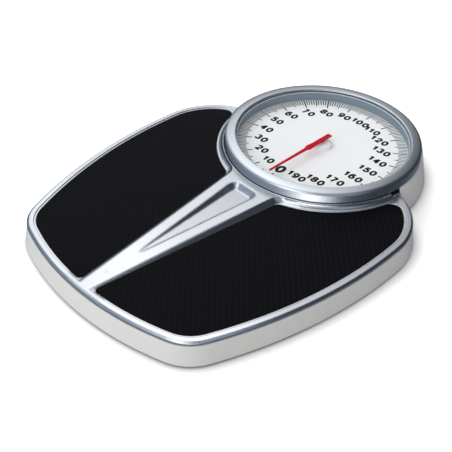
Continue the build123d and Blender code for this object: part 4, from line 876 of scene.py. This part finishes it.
# %% Light the sky
DOME, DOME_TILT = 0.55, Vector((-0.26, -0.16, 0.08))
path = add(sky_tree, "LightPath")
light = add(sky_tree, "Math", {1: DOME}, operation="ADD")
join(sky_tree, facing(DOME_TILT), light.inputs[0])
level = add(sky_tree, "MapRange", {"To Max": 1.0})
join(sky_tree, path.outputs["Is Camera Ray"], level.inputs["Value"])
join(sky_tree, light.outputs[0], level.inputs["To Min"])
join(sky_tree, level.outputs["Result"], sky.inputs["Strength"])
sky.inputs["Color"].default_value = (1.0, 1.0, 1.0, 1.0)
mirror = add(sky_tree, "Math", operation="SUBTRACT", use_clamp=True)
join(sky_tree, path.outputs["Is Glossy Ray"], mirror.inputs[0])
join(sky_tree, path.outputs["Is Transmission Ray"], mirror.inputs[1])
world_out = next(n for n in sky_tree.nodes if n.type == "OUTPUT_WORLD")
join(sky_tree, choose(sky_tree, mirror.outputs[0], sky.outputs[0], mirrored_room),
     world_out.inputs["Surface"])
print("dome light of", DOME, "to", round(DOME + DOME_TILT.length, 2))

# %% [markdown]
# The lamps
# One large lamp stands high on the left and gives the scale its light side. A second one stands
# low in front, as the skirt would go grey without it. Both are large for their distance, so
# shadows are soft. They are kept out of the mirrors, where the boards do their work.

# %% Set up the lamps
def soft_lamp(name, place, width, height, power):
    """A rectangular soft lamp that points at the scale."""
    light = bpy.data.lights.new(name, "AREA")
    light.shape = "RECTANGLE"
    light.size = width
    light.size_y = height
    light.energy = power
    lamp = bpy.data.objects.new(name, light)
    bpy.context.scene.collection.objects.link(lamp)
    lamp.location = place
    lamp.rotation_euler = (-Vector(place)).to_track_quat("-Z", "Y").to_euler()
    lamp.visible_glossy = False
    print(name, "of", power, "W at", round(Vector(place).length, 2), "m")


soft_lamp("key_lamp", (-1.43, 0.19, 1.24), 1.3, 1.3, 7.6)
soft_lamp("front_lamp", (0.35, -1.60, 0.70), 1.4, 1.0, 9.0)

# %% [markdown]
# The camera
# The camera stands where the photograph was taken. Its place and turn were worked out from the
# outlines of the ring, the frame and the marks, so the render and the photograph can be laid
# on each other. Its lens is given as a length in pixels of the picture.

# %% Set the camera
AZIMUTH, ELEVATION, ROLL = math.radians(44.01), math.radians(39.24), math.radians(2.11)
CAMERA_PLACE = (0.48231, -0.53302, 0.56428)
LENS_PIXELS, PICTURE_PIXELS, SENSOR = 914.63, 452, 36
back = Vector((math.sin(AZIMUTH) * math.cos(ELEVATION), -math.cos(AZIMUTH) * math.cos(ELEVATION),
               math.sin(ELEVATION)))
right = Vector((math.cos(AZIMUTH), math.sin(AZIMUTH), 0))
up = back.cross(right)
turned_right = right * math.cos(ROLL) + up * math.sin(ROLL)
turned_up = up * math.cos(ROLL) - right * math.sin(ROLL)
camera_data = bpy.data.cameras.new("photo_camera")
camera_data.lens = LENS_PIXELS * SENSOR / PICTURE_PIXELS
camera_data.sensor_width = SENSOR
camera_data.clip_start = 0.01
camera = bpy.data.objects.new("photo_camera", camera_data)
bpy.context.scene.collection.objects.link(camera)
turn = Matrix((turned_right, turned_up, back)).transposed()
camera.matrix_world = Matrix.Translation(CAMERA_PLACE) @ turn.to_4x4()
bpy.context.scene.camera = camera
bpy.context.scene.view_settings.view_transform = "Standard"
print("camera lens", round(camera_data.lens, 2), "mm")
